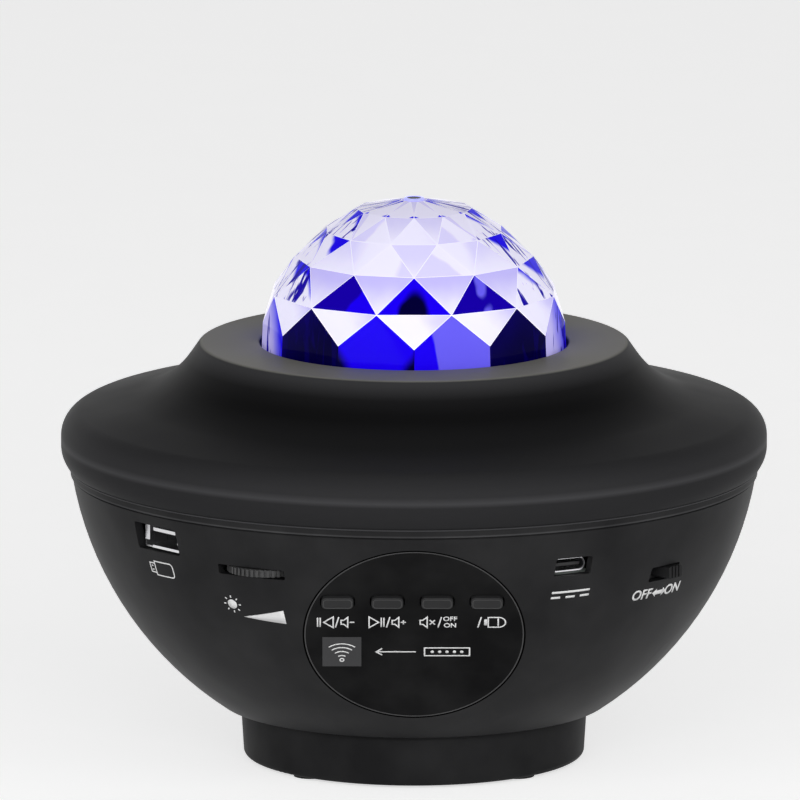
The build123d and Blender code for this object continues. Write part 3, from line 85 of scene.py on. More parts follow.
# Shares of the dome's radius and height at its rings, from the lowest up
DOME_RING_SHARES = ((1.0, 0.137), (0.955, 0.365), (0.79, 0.601), (0.595, 0.792), (0.382, 0.94), (0.085, 1.0))
DOME_HOLE_GAP = 0.4
DOME_BASE_RADIUS = 35.6046
APERTURE_RADIUS = 2.3
APERTURE_HEIGHT = 0.5
PANEL_TILT = 30.0
FACET_RADIUS = 25.8
PANEL_RADIUS = 25.45
BUTTON_PLACES = (-17.7, -6.2, 5.3, 16.8)
BUTTON_ROW_Y = 10.1
BUTTON_SIZE = (7.4, 3.4)
BUTTON_CORNER = 1.2
BUTTON_PROUD = 0.8
KEYS = ("previous", "play", "mute", "source")
WINDOW_PLACE = (-16.7, -5.3)
WHEEL_AZIMUTH = -29.2
WHEEL_Z = SEAM_Z - 12.1
WHEEL_RADIUS = 9.5
WHEEL_PROUD = 1.2
WHEEL_THICKNESS = 1.8
WHEEL_BORE = 1.55
WHEEL_DISH_RADIUS = 5.6
WHEEL_DISH_DEPTH = 0.3
LENS_HUB_RADIUS = 11.0
LENS_RADIUS = 20.8
SOCKET_AZIMUTH = -49.4
SOCKET_Z = SEAM_Z - 7.5
SOCKET_SETBACK = 2.5
SOCKET_MOUTH = (13.1, 5.7)
SOCKET_WALL = 0.3

# Sizes and shares that only the scene has
RIM_FILLET = 6.2
RIM_LOW_FILLET = 7.0
HOLE_FILLET = 0.6
SEAM_FILLET = 0.2
GROOVE_Z = SEAM_Z + 0.45
GROOVE_HALF = 0.15
GROOVE_DEPTH = 0.22
# Height of the highlight painted along the rim's ridge
RIDGE_HIGHLIGHT_Z = RIM_TOP_Z - 5.6
EYE_SHARE = 0.72
EYE_SUNK = 0.2
PANEL_EDGE_WIDTH = 0.4
PANEL_EDGE_INSET = 0.06
KEY_RIM_INSET = 0.45
KEY_RIM_WIDTH = 0.22
SIGN_LINE = 0.32
SIGN_DROP = 6.3
MITRE_SHARE = 0.4
STICK_SHIFT = 1.2
HANDSET_X = 7.6
CAPITAL_SHARE = 0.7
BOLD_SHARE = 0.03
CAMERA_AIM = (-3.27, 0, 84.6)


class HousingSettings(PropertyGroup):
    """Colours and grain of the moulded housing"""

    shell_colour: FloatVectorProperty(
        name="Shell", description="Colour of the shells", subtype="COLOR", default=(0.0145, 0.0145, 0.0153)
    )
    panel_colour: FloatVectorProperty(
        name="Panel", description="Colour of the key panel", subtype="COLOR", default=(0.0053, 0.0053, 0.0056)
    )
    # Pale colour of the collar: a painted highlight on plastic as black as the shells
    collar_highlight_colour: FloatVectorProperty(
        name="Collar", description="Colour of the flat collar", subtype="COLOR", default=(0.3, 0.295, 0.265)
    )
    print_colour: FloatVectorProperty(
        name="Print", description="Colour of the printed signs", subtype="COLOR", default=(0.8, 0.8, 0.8)
    )
    grain: FloatProperty(
        name="Grain", description="Spacing of the moulded grain in millimetres", default=0.35, min=0.05
    )
    print_height: FloatProperty(
        name="Ink height", description="Height of the ink in millimetres", default=0.04, min=0.005
    )


class DomeSettings(PropertyGroup):
    """Colours and edges of the dome, and the strength of the glow painted into its facets as their light and
    shade
    """

    deep_blue: FloatVectorProperty(
        name="Deep blue", description="Colour of the dark facets", subtype="COLOR", default=(0.006, 0.0, 0.3)
    )
    bright_blue: FloatVectorProperty(
        name="Bright blue", description="Colour of the lit facets", subtype="COLOR", default=(0.008, 0.0, 0.7)
    )
    pale: FloatVectorProperty(
        name="Pale", description="Colour of the pale facets", subtype="COLOR", default=(0.47, 0.43, 0.8)
    )
    # The edges carry a painted highlight, or a painted shadow low down
    edge: FloatProperty(
        name="Edge", description="Width of the polished edges in millimetres", default=0.12, min=0.02
    )
    glow: FloatProperty(name="Glow", description="Strength of the light in the facets", default=0.45, min=0.0)


class WheelSettings(PropertyGroup):
    """Ribs of the dimmer wheel and ripples of the lens"""

    ribs: IntProperty(name="Ribs", description="Number of ribs round the wheel", default=48, min=8)
    rib_depth: FloatProperty(
        name="Rib depth", description="Depth of a rib in millimetres", default=0.45, min=0.1
    )
    ripple_pitch: FloatProperty(
        name="Ripple pitch", description="Spacing of the lens ripples in millimetres", default=2.1, min=0.5
    )


class StageSettings(PropertyGroup):
    """Camera and floor"""

    elevation: FloatProperty(
        name="Elevation", description="Height of the view", subtype="ANGLE", default=radians(10.9)
    )
    distance: FloatProperty(name="Distance", description="Camera distance", unit="LENGTH", default=5.0)
    lens: FloatProperty(name="Lens", description="Focal length", unit="CAMERA", default=963.0)
    floor_colour: FloatVectorProperty(
        name="Floor", description="Colour of the floor", subtype="COLOR", default=(0.86, 0.86, 0.86)
    )


def settings(name):
    """The property group of this name on the scene."""
    return getattr(bpy.context.scene, name)


# Profiles and turned meshes


def rounded(corners, steps=10):
    """Outline through (x, y, fillet) corners, with each fillet as an arc of points."""
    outline = [Vector(corners[0][:2])]
    for before, corner, after in zip(corners, corners[1:], corners[2:]):
        point = Vector(corner[:2])
        fillet = corner[2]
        if fillet == 0:
            outline.append(point)
            continue
        back = (Vector(before[:2]) - point).normalized()
        ahead = (Vector(after[:2]) - point).normalized()
        half = back.angle(ahead) / 2
        middle = point + (back + ahead).normalized() * (fillet / sin(half))
        reach = fillet * cos(half) / sin(half)
        start = point + back * reach - middle
        sweep = start.angle_signed(point + ahead * reach - middle)
        for step in range(steps + 1):
            outline.append(middle + Matrix.Rotation(-sweep * step / steps, 2) @ start)
    outline.append(Vector(corners[-1][:2]))
    return outline


def closed_outline(corners, steps=10):
    """Rounded outline that runs back to its first corner."""
    return rounded([*corners, corners[0]], steps)[:-1]


def turned(outline, segments, closed=True):
    """Mesh turned about the upright axis from (radius, height) points."""
    bm = bmesh.new()
    rings = []
    for radius, height in outline:
        if radius == 0:
            rings.append([bm.verts.new((0, 0, height))])
            continue
        angles = [TURN * i / segments for i in range(segments)]
        rings.append([bm.verts.new((radius * sin(a), -radius * cos(a), height)) for a in angles])
    following = rings[1:] + rings[:1] if closed else rings[1:]
    for low, high in zip(rings, following):
        for i in range(segments):
            j = i + 1
            corners = [low[i % len(low)], low[j % len(low)], high[j % len(high)], high[i % len(high)]]
            corners = list(dict.fromkeys(corners))
            if len(corners) > 2:
                bm.faces.new(corners)
    bmesh.ops.recalc_face_normals(bm, faces=bm.faces)
    return bm


def new_piece(name, bm, material, body, replaced=(), sharp=35.0):
    """Turns a mesh in millimetres into a finished piece, with edges over so many degrees kept sharp."""
    mesh = bpy.data.meshes.new(name)
    bm.transform(Matrix.Scale(TO_METRES, 4))
    bm.to_mesh(mesh)
    bm.free()
    mesh.materials.append(material)
    mesh.shade_smooth()
    mesh.set_sharp_from_angle(angle=radians(sharp))
    return ride_piece(bpy.data.objects.new(name, mesh), body, replaced)


def ride_piece(piece, body, replaced=()):
    """Links a piece, rides it on its body and hides the nodes it stands for."""
    bpy.context.scene.collection.objects.link(piece)
    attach(piece, body)
    if replaced:
        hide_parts(*replaced)
    return piece


# Node trees and shared shader groups


def new_tree(kind, name, inputs, outputs):
    """Empty node tree with these (socket, type, default) inputs and (socket, type) outputs."""
    tree = bpy.data.node_groups.new(name, kind)
    for socket, socket_type, default in inputs:
        made = tree.interface.new_socket(socket, in_out="INPUT", socket_type=socket_type)
        made.default_value = default
    for socket, socket_type in outputs:
        tree.interface.new_socket(socket, in_out="OUTPUT", socket_type=socket_type)
    return tree, tree.nodes.new("NodeGroupInput").outputs, tree.nodes.new("NodeGroupOutput").inputs


def add_node(tree, kind, values=(), **options):
    """Adds a node, sets its options and its input values, and links inputs that are given a socket."""
    node = tree.nodes.new(kind)
    for option, value in options.items():
        setattr(node, option, value)
    for socket, value in dict(values).items():
        if isinstance(value, bpy.types.NodeSocket):
            tree.links.new(value, node.inputs[socket])
        else:
            node.inputs[socket].default_value = value
    return node


def add_math(tree, operation, first, second):
    """Result of a Math node on two numbers or sockets."""
    return add_node(tree, "ShaderNodeMath", {0: first, 1: second}, operation=operation).outputs[0]


def add_range(tree, values, **options):
    """Result of a Map Range node."""
    return add_node(tree, "ShaderNodeMapRange", values, **options).outputs["Result"]


def add_mix(tree, values, **options):
    """Result of a Mix node on two colours."""
    return add_node(tree, "ShaderNodeMix", values, data_type="RGBA", **options).outputs["Result"]


def object_place(tree):
    """Object coordinates, which stay with the piece."""
    return add_node(tree, "ShaderNodeTexCoord").outputs["Object"]


SURFACE_OUTPUTS = [("Roughness", "NodeSocketFloat"), ("Normal", "NodeSocketVector")]


def grain_group():
    """Moulded grain: a fine bump, and roughness that drifts over the surface."""
    inputs = [
        ("Scale", "NodeSocketFloat", 3000.0),
        ("Depth", "NodeSocketFloat", 0.1),
        ("Roughness", "NodeSocketFloat", 0.5),
        ("Drift", "NodeSocketFloat", 0.1),
    ]
    group, given, result = new_tree("ShaderNodeTree", "Moulded Grain", inputs, SURFACE_OUTPUTS)
    place = object_place(group)
    fine = add_node(group, "ShaderNodeTexNoise", {"Vector": place, "Scale": given["Scale"], "Detail": 3.0})
    broad = add_node(group, "ShaderNodeTexNoise", {"Vector": place, "Scale": 45.0, "Detail": 2.0})
    relief = {"Strength": given["Depth"], "Distance": 0.0001, "Height": fine.outputs["Fac"]}
    bump = add_node(group, "ShaderNodeBump", relief)
    centred = add_math(group, "SUBTRACT", broad.outputs["Fac"], 0.5)
    rough = add_math(group, "ADD", given["Roughness"], add_math(group, "MULTIPLY", centred, given["Drift"]))
    group.links.new(rough, result["Roughness"])
    group.links.new(bump.outputs["Normal"], result["Normal"])
    return group


def tone_group():
    """Tone drift: a colour that varies softly towards a second one."""
    inputs = [
        ("Colour", "NodeSocketColor", (0.5, 0.5, 0.5, 1)),
        ("Second", "NodeSocketColor", (0.6, 0.6, 0.6, 1)),
        ("Scale", "NodeSocketFloat", 60.0),
    ]
    outputs = [("Colour", "NodeSocketColor")]
    group, given, result = new_tree("ShaderNodeTree", "Tone Drift", inputs, outputs)
    cells = {"Vector": object_place(group), "Scale": given["Scale"], "Detail": 4.0}
    cloud = add_node(group, "ShaderNodeTexNoise", cells).outputs["Fac"]
    spread = add_range(group, {"Value": cloud, "From Min": 0.35, "From Max": 0.7})
    mix = add_mix(group, {"Factor": spread, "A": given["Colour"], "B": given["Second"]})
    group.links.new(mix, result["Colour"])
    return group


def brushed_group():
    """Drawn metal: roughness and bump in fine lines along one direction."""
    inputs = [
        ("Stretch", "NodeSocketVector", (3000.0, 3000.0, 200.0)),
        ("Roughness", "NodeSocketFloat", 0.3),
        ("Depth", "NodeSocketFloat", 0.1),
    ]
    group, given, result = new_tree("ShaderNodeTree", "Drawn Metal", inputs, SURFACE_OUTPUTS)
    stretch = {0: object_place(group), 1: given["Stretch"]}
    pulled = add_node(group, "ShaderNodeVectorMath", stretch, operation="MULTIPLY").outputs[0]
    lines = add_node(group, "ShaderNodeTexNoise", {"Vector": pulled, "Scale": 1.0, "Detail": 3.0})
    height = lines.outputs["Fac"]
    relief = {"Strength": given["Depth"], "Distance": 0.00005, "Height": height}
    bump = add_node(group, "ShaderNodeBump", relief)
    rough = add_math(group, "ADD", given["Roughness"], add_math(group, "MULTIPLY", height, 0.2))
    group.links.new(rough, result["Roughness"])
    group.links.new(bump.outputs["Normal"], result["Normal"])
    return group


GROUP_MAKERS = {"Moulded Grain": grain_group, "Tone Drift": tone_group, "Drawn Metal": brushed_group}


def place_group(tree, name, values):
    """Places a shared group in a material with its own values."""
    group = bpy.data.node_groups.get(name) or GROUP_MAKERS[name]()
    return add_node(tree, "ShaderNodeGroup", values, node_tree=group).outputs


# Finishes


def new_finish(name):
    """Material with its node tree and its Principled shader."""
    material = bpy.data.materials.new(name)
    material.use_nodes = True
    tree = material.node_tree
    return material, tree, tree.nodes["Principled BSDF"].inputs


def opaque(colour):
    """Colour with full alpha."""
    return (*colour[:3], 1.0)


def lift(colour, share):
    """Colour moved towards white by this share, with full alpha."""
    return opaque([c + (1 - c) * share for c in colour[:3]])


def drifting(tree, colour, share, scale=60.0):
    """Colour that drifts softly towards a lighter one."""
    values = {"Colour": opaque(colour), "Second": lift(colour, share), "Scale": scale}
    return place_group(tree, "Tone Drift", values)["Colour"]


def dress(tree, shader, colour, surface):
    """Links a colour, and a surface's roughness and normal, to the shader."""
    tree.links.new(colour, shader["Base Color"])
    for socket in ("Roughness", "Normal"):
        tree.links.new(surface[socket], shader[socket])


def painted_light_by_height(tree, levels):
    """Painted light and shade: tints that follow each other at rising heights."""
    low, high = levels[0][0], levels[-1][0]
    height = add_node(tree, "ShaderNodeSeparateXYZ", {"Vector": object_place(tree)}).outputs["Z"]
    share = add_range(tree, {"Value": height, "From Min": low * TO_METRES, "From Max": high * TO_METRES})
    ramp = add_node(tree, "ShaderNodeValToRGB", {"Fac": share})
    stops = ramp.color_ramp.elements
    for _ in levels[2:]:
        stops.new(0.5)
    for stop, (level, painted_tone) in zip(stops, levels):
        stop.position = (level - low) / (high - low)
        stop.color = opaque(painted_tone)
    return ramp.outputs["Color"]


def plastic(name, colour, roughness=0.5, grain=0.35, depth=0.1, specular=0.3, tone_share=0.01, levels=()):
    """Moulded plastic with a fine grain and a soft drift of tone, with painted light and shade by height
    where it has levels.
    """
    material, tree, shader = new_finish(name)
    shown = drifting(tree, colour, tone_share)
    if levels:
        shade_mix = {"Factor": 1.0, "A": shown, "B": painted_light_by_height(tree, levels)}
        shown = add_mix(tree, shade_mix, blend_type="MULTIPLY")
    rough = {"Scale": 1 / (grain * TO_METRES), "Depth": depth, "Roughness": roughness, "Drift": 0.12}
    dress(tree, shader, shown, place_group(tree, "Moulded Grain", rough))
    shader["Specular IOR Level"].default_value = specular
    return material


def metal(name, colour, roughness=0.28, stretch=(3000.0, 3000.0, 200.0)):
    """Drawn or turned metal."""
    material, tree, shader = new_finish(name)
    surface = place_group(tree, "Drawn Metal", {"Stretch": stretch, "Roughness": roughness})
    dress(tree, shader, drifting(tree, colour, 0.15), surface)
    shader["Metallic"].default_value = 1.0
    return material


def circuit_board(name, colour):
    """Solder mask with the lighter lines of the tracks under it."""
    material, tree, shader = new_finish(name)
    cells = {"Vector": object_place(tree), "Scale": 320.0}
    tracks = add_node(tree, "ShaderNodeTexVoronoi", cells, distance="MANHATTAN", feature="F2")
    edge = add_range(tree, {"Value": tracks.outputs["Distance"], "From Min": 0.75, "From Max": 0.8})
    shown = add_mix(tree, {"Factor": edge, "A": opaque(colour), "B": lift(colour, 0.12)})
    surface = place_group(tree, "Moulded Grain", {"Scale": 900.0, "Depth": 0.15, "Roughness": 0.35})
    dress(tree, shader, shown, surface)
    return material


def clear_plastic(name, colour, glow, ripple=0.3):
    """Clear moulded plastic with soft ripples that glows: the emitters as lamps, the lens and the grating
    with a painted glow for the light from below.
    """
    material, tree, shader = new_finish(name)
    shown = drifting(tree, colour, 0.4, 140.0)
    surface = place_group(tree, "Moulded Grain", {"Scale": 400.0, "Depth": ripple, "Roughness": 0.12})
    dress(tree, shader, shown, surface)
    tree.links.new(shown, shader["Emission Color"])
    shader["Emission Strength"].default_value = glow
    shader["Transmission Weight"].default_value = 0.4
    return material


def dome_finish():
    """Clear acrylic whose light from inside is painted as glow: a curve cuts each facet into two tones of
    painted light and shade, and some carry painted streaks.
    """
    look = settings("dome_look")
    material, tree, shader = new_finish("dome_acrylic_painted_light")

    def attribute(name, output):
        return add_node(tree, "ShaderNodeAttribute", attribute_name=name).outputs[output]

    def math(operation, first, second):
        return add_math(tree, operation, first, second)

    place = attribute("facet_place", "Vector")
    across, up = add_node(tree, "ShaderNodeSeparateXYZ", {"Vector": place}).outputs[:2]
    line = add_node(tree, "ShaderNodeSeparateXYZ", {"Vector": attribute("facet_line", "Vector")}).outputs
    edge = add_node(tree, "ShaderNodeSeparateXYZ", {"Vector": attribute("facet_edge", "Vector")}).outputs
    wave = add_node(tree, "ShaderNodeTexNoise", {"Vector": place, "Scale": 1.6, "Detail": 1.0}).outputs["Fac"]
    bend = math("MULTIPLY", math("SUBTRACT", wave, 0.5), 0.3)
    slope = math("ADD", math("MULTIPLY", across, line[0]), math("MULTIPLY", up, line[1]))
    curve = math("MULTIPLY", math("MULTIPLY", across, across), line[2])
    level = math("ADD", math("ADD", slope, curve), math("ADD", edge[0], bend))
    low = math("MULTIPLY", edge[1], -1.0)
    span = {"Value": level, "From Min": low, "From Max": edge[1]}
    mask = add_range(tree, span, interpolation_type="SMOOTHSTEP")
    stretch = {0: place, 1: (2.4, 0.6, 1.0)}
    flow = add_node(tree, "ShaderNodeVectorMath", stretch, operation="MULTIPLY").outputs[0]
    swirl = {"Vector": flow, "Scale": 1.3, "Detail": 3.0, "Distortion": 0.8}
    threads = add_node(tree, "ShaderNodeTexNoise", swirl).outputs["Fac"]
    streaks = add_range(tree, {"Value": threads, "From Min": 0.54, "From Max": 0.6, "To Max": edge[2]})
    main, second = attribute("facet_main", "Color"), attribute("facet_second", "Color")
    mix = add_mix(tree, {"Factor": mask, "A": main, "B": second})
    streaked = add_mix(tree, {"Factor": streaks, "A": mix, "B": opaque(look.deep_blue)})
    tree.links.new(streaked, shader["Base Color"])
    tree.links.new(streaked, shader["Emission Color"])
    shader["Emission Strength"].default_value = look.glow
    shader["Roughness"].default_value = 0.05
    shader["IOR"].default_value = 1.49
    shader["Specular IOR Level"].default_value = 0.01
    shader["Transmission Weight"].default_value = 0.04
    return material


def painted_shading_by_height(housing):
    """Colours of the upper shell by height, all painted light and shade: pale highlight lines at the seam and
    along the rim's ridge, shade in the groove, a saucer that darkens towards a shaded neck, and a highlight
    on the paler collar.
    """
    shell = Vector(housing.shell_colour)
    return (
        # Painted highlight line at the seam, painted shade in the groove
        (SEAM_Z, shell * 4.0),
        (GROOVE_Z - GROOVE_HALF, shell * 4.0),
        (GROOVE_Z, shell * 0.8),
        (GROOVE_Z + 2 * GROOVE_HALF, shell * 1.6),
        # Painted highlight along the rim's ridge
        (RIDGE_HIGHLIGHT_Z - 1.0, shell * 1.7),
        (RIDGE_HIGHLIGHT_Z, shell * 3.7),
        (RIDGE_HIGHLIGHT_Z + 1.4, shell * 2.1),
        (RIM_TOP_Z + 0.5, shell * 2.1),
        # Painted shade that darkens the saucer towards the neck
        (NECK_FOOT[1] - 1.5, shell * 1.1),
        (NECK_FOOT[1] + 3.0, shell * 0.5),
        (COLLAR_Z - 7.0, shell * 0.5),
        # Painted highlight on the collar's fillet and top
        (COLLAR_Z - 4.2, shell * 0.8),
        (COLLAR_Z - 1.4, shell * 2.6),
        (COLLAR_Z - 0.3, shell * 3.2),
        (COLLAR_Z - 0.03, housing.collar_highlight_colour),
        (COLLAR_Z, housing.collar_highlight_colour),
    )


def band_painted_highlight():
    """Shares of the bowl's colour by height: a painted highlight line at the foot of the band under the seam.
    """
    plain, pale = (1.0, 1.0, 1.0), (2.4, 2.4, 2.4)
    return (BAND_Z - 0.1, plain), (BAND_Z, pale), (BAND_Z + 0.3, pale), (BAND_Z + 0.45, plain)


def make_finishes():
    """Finishes by the record's material slots, and a few for the scene's own pieces."""
    housing = settings("housing_look")
    shell = tuple(housing.shell_colour)
    panel = tuple(housing.panel_colour)
    blue = tuple(settings("dome_look").bright_blue)
    grain = housing.grain
    upper = painted_shading_by_height(housing)
    # Plastics give roughness, the grain's spacing and depth, gloss and the drift of tone, in that order
    return {
        # The bowl's shell carries a painted highlight line under the seam
        "shell_black": plastic("shell_soft_black", shell, 0.45, grain, 0.12, 0.05, levels=band_painted_highlight()),
        # The upper shell's colour is painted light and shade by height
        "shell_upper": plastic("shell_upper_painted_shading", (1.0, 1.0, 1.0), 0.45, grain, 0.12, 0.02, levels=upper),
        "foot_black": plastic("foot_black", [0.85 * c for c in shell], 0.5, grain, 0.15, 0.03),
        "panel_black": plastic("panel_black", panel, 0.5, 0.2, 0.06, 0.03),
        "button_black": plastic("button_black", lift(shell, 0.004), 0.4, 0.15, 0.08, 0.15),
        "control_grey": plastic("control_black", shell, 0.45, 0.2, 0.1, 0.05),
        "wheel_grey": plastic("wheel_grey", lift(shell, 0.03), 0.4, 0.2, 0.1, 0.3),
        # Near-black ring laid where the gap round the panel falls into shade: painted shadow
        "gap_painted_shadow": plastic("gap_painted_shadow", (0.0015, 0.0015, 0.0015), 0.9, specular=0.0, tone_share=0.0005),
        "chassis_white": plastic("chassis_white", (0.6, 0.62, 0.68), 0.45),
        "light_board": plastic("light_board_white", (0.75, 0.75, 0.75), 0.4),
        "emitter": clear_plastic("emitter_blue", blue, 6.0),
        "laser_brass": metal("laser_brass", (0.55, 0.36, 0.13)),
        "gear_white": plastic("gear_white", (0.68, 0.68, 0.64), 0.4),
        # The lens and the grating glow with painted light
        "lens_clear": clear_plastic("lens_rippled", (0.3, 0.32, 1.0), 0.5),
        "grating_clear": clear_plastic("grating_lined", (0.5, 0.55, 1.0), 0.3, 0.8),
        "screw_steel": metal("screw_zinc", (0.42, 0.42, 0.43), 0.32, (1500.0, 1500.0, 1500.0)),
        "socket_steel": metal("socket_tin", (0.7, 0.7, 0.72), 0.2),
        "motor_steel": metal("motor_steel", (0.45, 0.45, 0.46)),
        "gearbox_black": plastic("gearbox_black", (0.03, 0.03, 0.03)),
        "board_green": circuit_board("board_green", (0.003, 0.02, 0.01)),
        "chip_black": plastic("chip_black", (0.015, 0.015, 0.016), 0.45),
        "insert_black": plastic("insert_black", (0.012, 0.012, 0.013), 0.4),
        "capacitor_sleeve": plastic("capacitor_sleeve", (0.01, 0.015, 0.06), 0.25),
        "pad_rubber": plastic("pad_rubber", (0.012, 0.012, 0.012), 0.8, 0.5, 0.3, 0.2),
        "gasket_foam": plastic("gasket_foam", (0.02, 0.02, 0.02), 0.95, 0.6, 0.8, 0.1),
        "basket_steel": plastic("basket_black", (0.02, 0.02, 0.02), 0.35),
        "cone_paper": plastic("cone_paper", (0.03, 0.03, 0.032), 0.85, 0.8, 0.6, 0.1),
        "magnet_dark": metal("magnet_dark", (0.1, 0.1, 0.1), 0.45),
        "window_grey": plastic("window_smoked", (0.04, 0.04, 0.042), 0.3, 0.3, 0.03, 0.2),
        "dome_clear": dome_finish(),
        # Paler plastic that paints a highlight on rounded edges
        "edge_highlight": plastic("edge_highlight", lift(shell, 0.035), 0.4, 0.15, 0.05, 0.2),
        "print_white": plastic("print_white", tuple(housing.print_colour), 0.5, 0.1, 0.05, 0.2, 0.02),
    }


FINISHES = {}


class PROJECTOR_OT_finishes(Operator):
    """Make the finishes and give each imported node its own"""

    bl_idname = "projector.finishes"
    bl_label = "Finishes"

    def execute(self, context):
        FINISHES.update(make_finishes())
        for subpart in frame["record"]["subparts"]:
            slots = frame["nodes"][subpart["node"]].material_slots
            slots[0].material = FINISHES[subpart["material_slot"]]
        return {"FINISHED"}


# Shells


class PROJECTOR_OT_upper_shell(Operator):
    """Turn the rim, saucer, neck and collar with a fine outline"""

    bl_idname = "projector.upper_shell"
    bl_label = "Upper shell"

    def execute(self, context):
        hole_radius = DOME_BASE_RADIUS + DOME_HOLE_GAP
        skirt_radius = RIM_FOOT_RADIUS - 2 * HOLE_FILLET
        inner_rim = RIM_RADIUS - WALL
        lean = (RIM_RADIUS - RIM_FOOT_RADIUS) / (RIM_FACE_Z - SEAM_Z)
        groove_radius = RIM_FOOT_RADIUS + lean * (GROOVE_Z - SEAM_Z)
        corners = [
            (hole_radius, COLLAR_Z - WALL, 0),
            (hole_radius, COLLAR_Z, HOLE_FILLET),
            (COLLAR_RADIUS, COLLAR_Z, COLLAR_FILLET),
            (*NECK_FOOT, NECK_FILLET),
            (RIM_RADIUS, RIM_TOP_Z, RIM_FILLET),
            (RIM_RADIUS, RIM_FACE_Z, RIM_LOW_FILLET),
            (groove_radius + lean * GROOVE_HALF, GROOVE_Z + GROOVE_HALF, 0),
            (groove_radius - GROOVE_DEPTH, GROOVE_Z, 0),
            (groove_radius - lean * GROOVE_HALF, GROOVE_Z - GROOVE_HALF, 0),
            (RIM_FOOT_RADIUS, SEAM_Z, SEAM_FILLET),
            (skirt_radius, SEAM_Z, 0),
            (inner_rim, RIM_FACE_Z + WALL, 0),
            (inner_rim, RIM_TOP_Z - WALL, RIM_FILLET - WALL),
            (NECK_FOOT[0] - WALL, NECK_FOOT[1] - WALL, NECK_FILLET),
            (COLLAR_RADIUS - WALL, COLLAR_Z - WALL, 0),
        ]
        bm = turned(closed_outline(corners), segments=240)
        new_piece("upper_cover", bm, FINISHES["shell_upper"], "housing", ["upper_shell"], 40.0)
        return {"FINISHED"}


# Dome


def dome_rings():
    """Corners of the dome's rings from its base up, as lists of points."""
    rings = []
    levels = [(DOME_BASE_RADIUS / DOME_RADIUS, -WALL / DOME_HEIGHT), *DOME_RING_SHARES]
    for level, (radius_share, height_share) in enumerate(levels):
        turn = 0 if level < 2 else (level - 1) % 2 * pi / DOME_SIDES
        radius = radius_share * DOME_RADIUS
        height = COLLAR_Z + height_share * DOME_HEIGHT
        angles = [TURN * side / DOME_SIDES + turn for side in range(DOME_SIDES)]
        rings.append([(radius * sin(a), -radius * cos(a), height) for a in angles])
    return rings


# Curve of each kind of facet between its two painted tones of light and shade: slopes across and up, bend,
# offset, softness, and the share of painted streaks
FACET_CUTS = {
    "lit": (0.0, -1.6, 0.9, -0.3, 0.25, 0.0),
    "half": (-1.0, -0.23, 0.0, -0.35, 0.03, 0.0),
    "night": (-0.2, 0.5, 0.0, -0.6, 0.6, 0.1),
    "streak": (0.6, 0.5, 0.0, -0.3, 0.4, 1.0),
    "white": (0.5, 0.3, 0.0, -0.55, 0.35, 0.0),
    "keyhole": (0.0, -0.3, -1.3, 0.24, 0.08, 0.0),
    "patch": (1.0, -0.5, 0.0, -0.05, 0.06, 0.0),
    "stripe": (0.4, 0.0, -1.6, -0.01, 0.03, 0.0),
    "fade": (0.0, 1.0, 0.0, -0.45, 0.5, 0.0),
    "swirl": (0.7, 0.6, -0.8, -0.1, 0.08, 0.0),
    "cloud": (-0.8, 0.4, 0.6, -0.3, 0.1, 0.0),
    "glint": (0.5, 0.8, 0.0, -0.6, 0.1, 1.0),
    "veil": (0.0, -1.0, 0.0, 0.2, 0.5, 0.0),
    "lean": (1.0, 0.0, 0.0, -0.44, 0.12, 0.0),
    "slant": (1.0, 1.1, 0.0, -0.6, 0.1, 0.0),
    "left": (1.0, 0.0, 0.0, 0.3, 0.45, 0.0),
    "right": (-1.0, 0.0, 0.0, 0.3, 0.35, 0.0),
    "spark": (0.0, -2.4, 1.0, -0.4, 0.1, 0.0),
}
# Kinds of the tall facets of the lowest row, side by side from the front
PENTAGONS = (
    *("half", "night", "streak", "lit", "night", "half"),
    *("streak", "night", "lit", "streak", "night", "lit"),
)
# Facets at the front of the upper rows, by row, side and whether they stand upright
FRONT_FACETS = {
    (3, 0, False): "veil",
    (3, 0, True): "slant",
    (3, 1, False): "right",
    (3, 11, False): "left",
    (3, 11, True): "lean",
    (4, 11, True): "white",
    (4, 0, False): "fade",
    (4, 11, False): "fade",
}
# Upper facets that face sideways by more than this share show painted glints
GLINT_TURN = 0.8
# Kinds that start from haze and turn white
PALE_FIRST = ("veil", "slant", "left", "right", "swirl")


def facet_look(row, side, upright, sideways):
    """Kind of a facet with its two painted colours of light and shade: dark and lit ones low down, pale ones
    above.
    """
    look = settings("dome_look")
    deep, bright, pale = tuple(look.deep_blue), tuple(look.bright_blue), tuple(look.pale)
    night = tuple(c * 0.08 for c in deep)
    dusk = tuple(c * 0.4 for c in deep)
    white = (0.74, 0.72, 0.86)
    haze = tuple((p + w) / 2 for p, w in zip(pale, white))
    violet = (0.11, 0.09, 0.7)
    if row == 0:
        kind = PENTAGONS[side]
        shades = {"half": (violet, bright), "lit": (bright, night), "night": (night, dusk)}
        return (kind, *shades.get(kind, (pale, bright)))
    if row == 1:
        return "white", white, pale
    if sideways > GLINT_TURN:
        return "glint", white, bright
    if row == 2 and upright:
        kind = ("stripe", "patch", "keyhole")[side % 3]
        shades = {"stripe": (deep, violet), "patch": (deep, bright), "keyhole": (bright, night)}
        return (kind, *shades[kind])
    if row == 2:
        return "fade", white, pale
    if row == 5:
        return ("spark", white, bright) if upright else ("fade", white, haze)
    usual = ("swirl", "cloud", "fade")[(side + 2 * row + upright) % 3]
    kind = FRONT_FACETS.get((row, side, upright), usual)
    return (kind, haze, white) if kind in PALE_FIRST else (kind, white, haze)


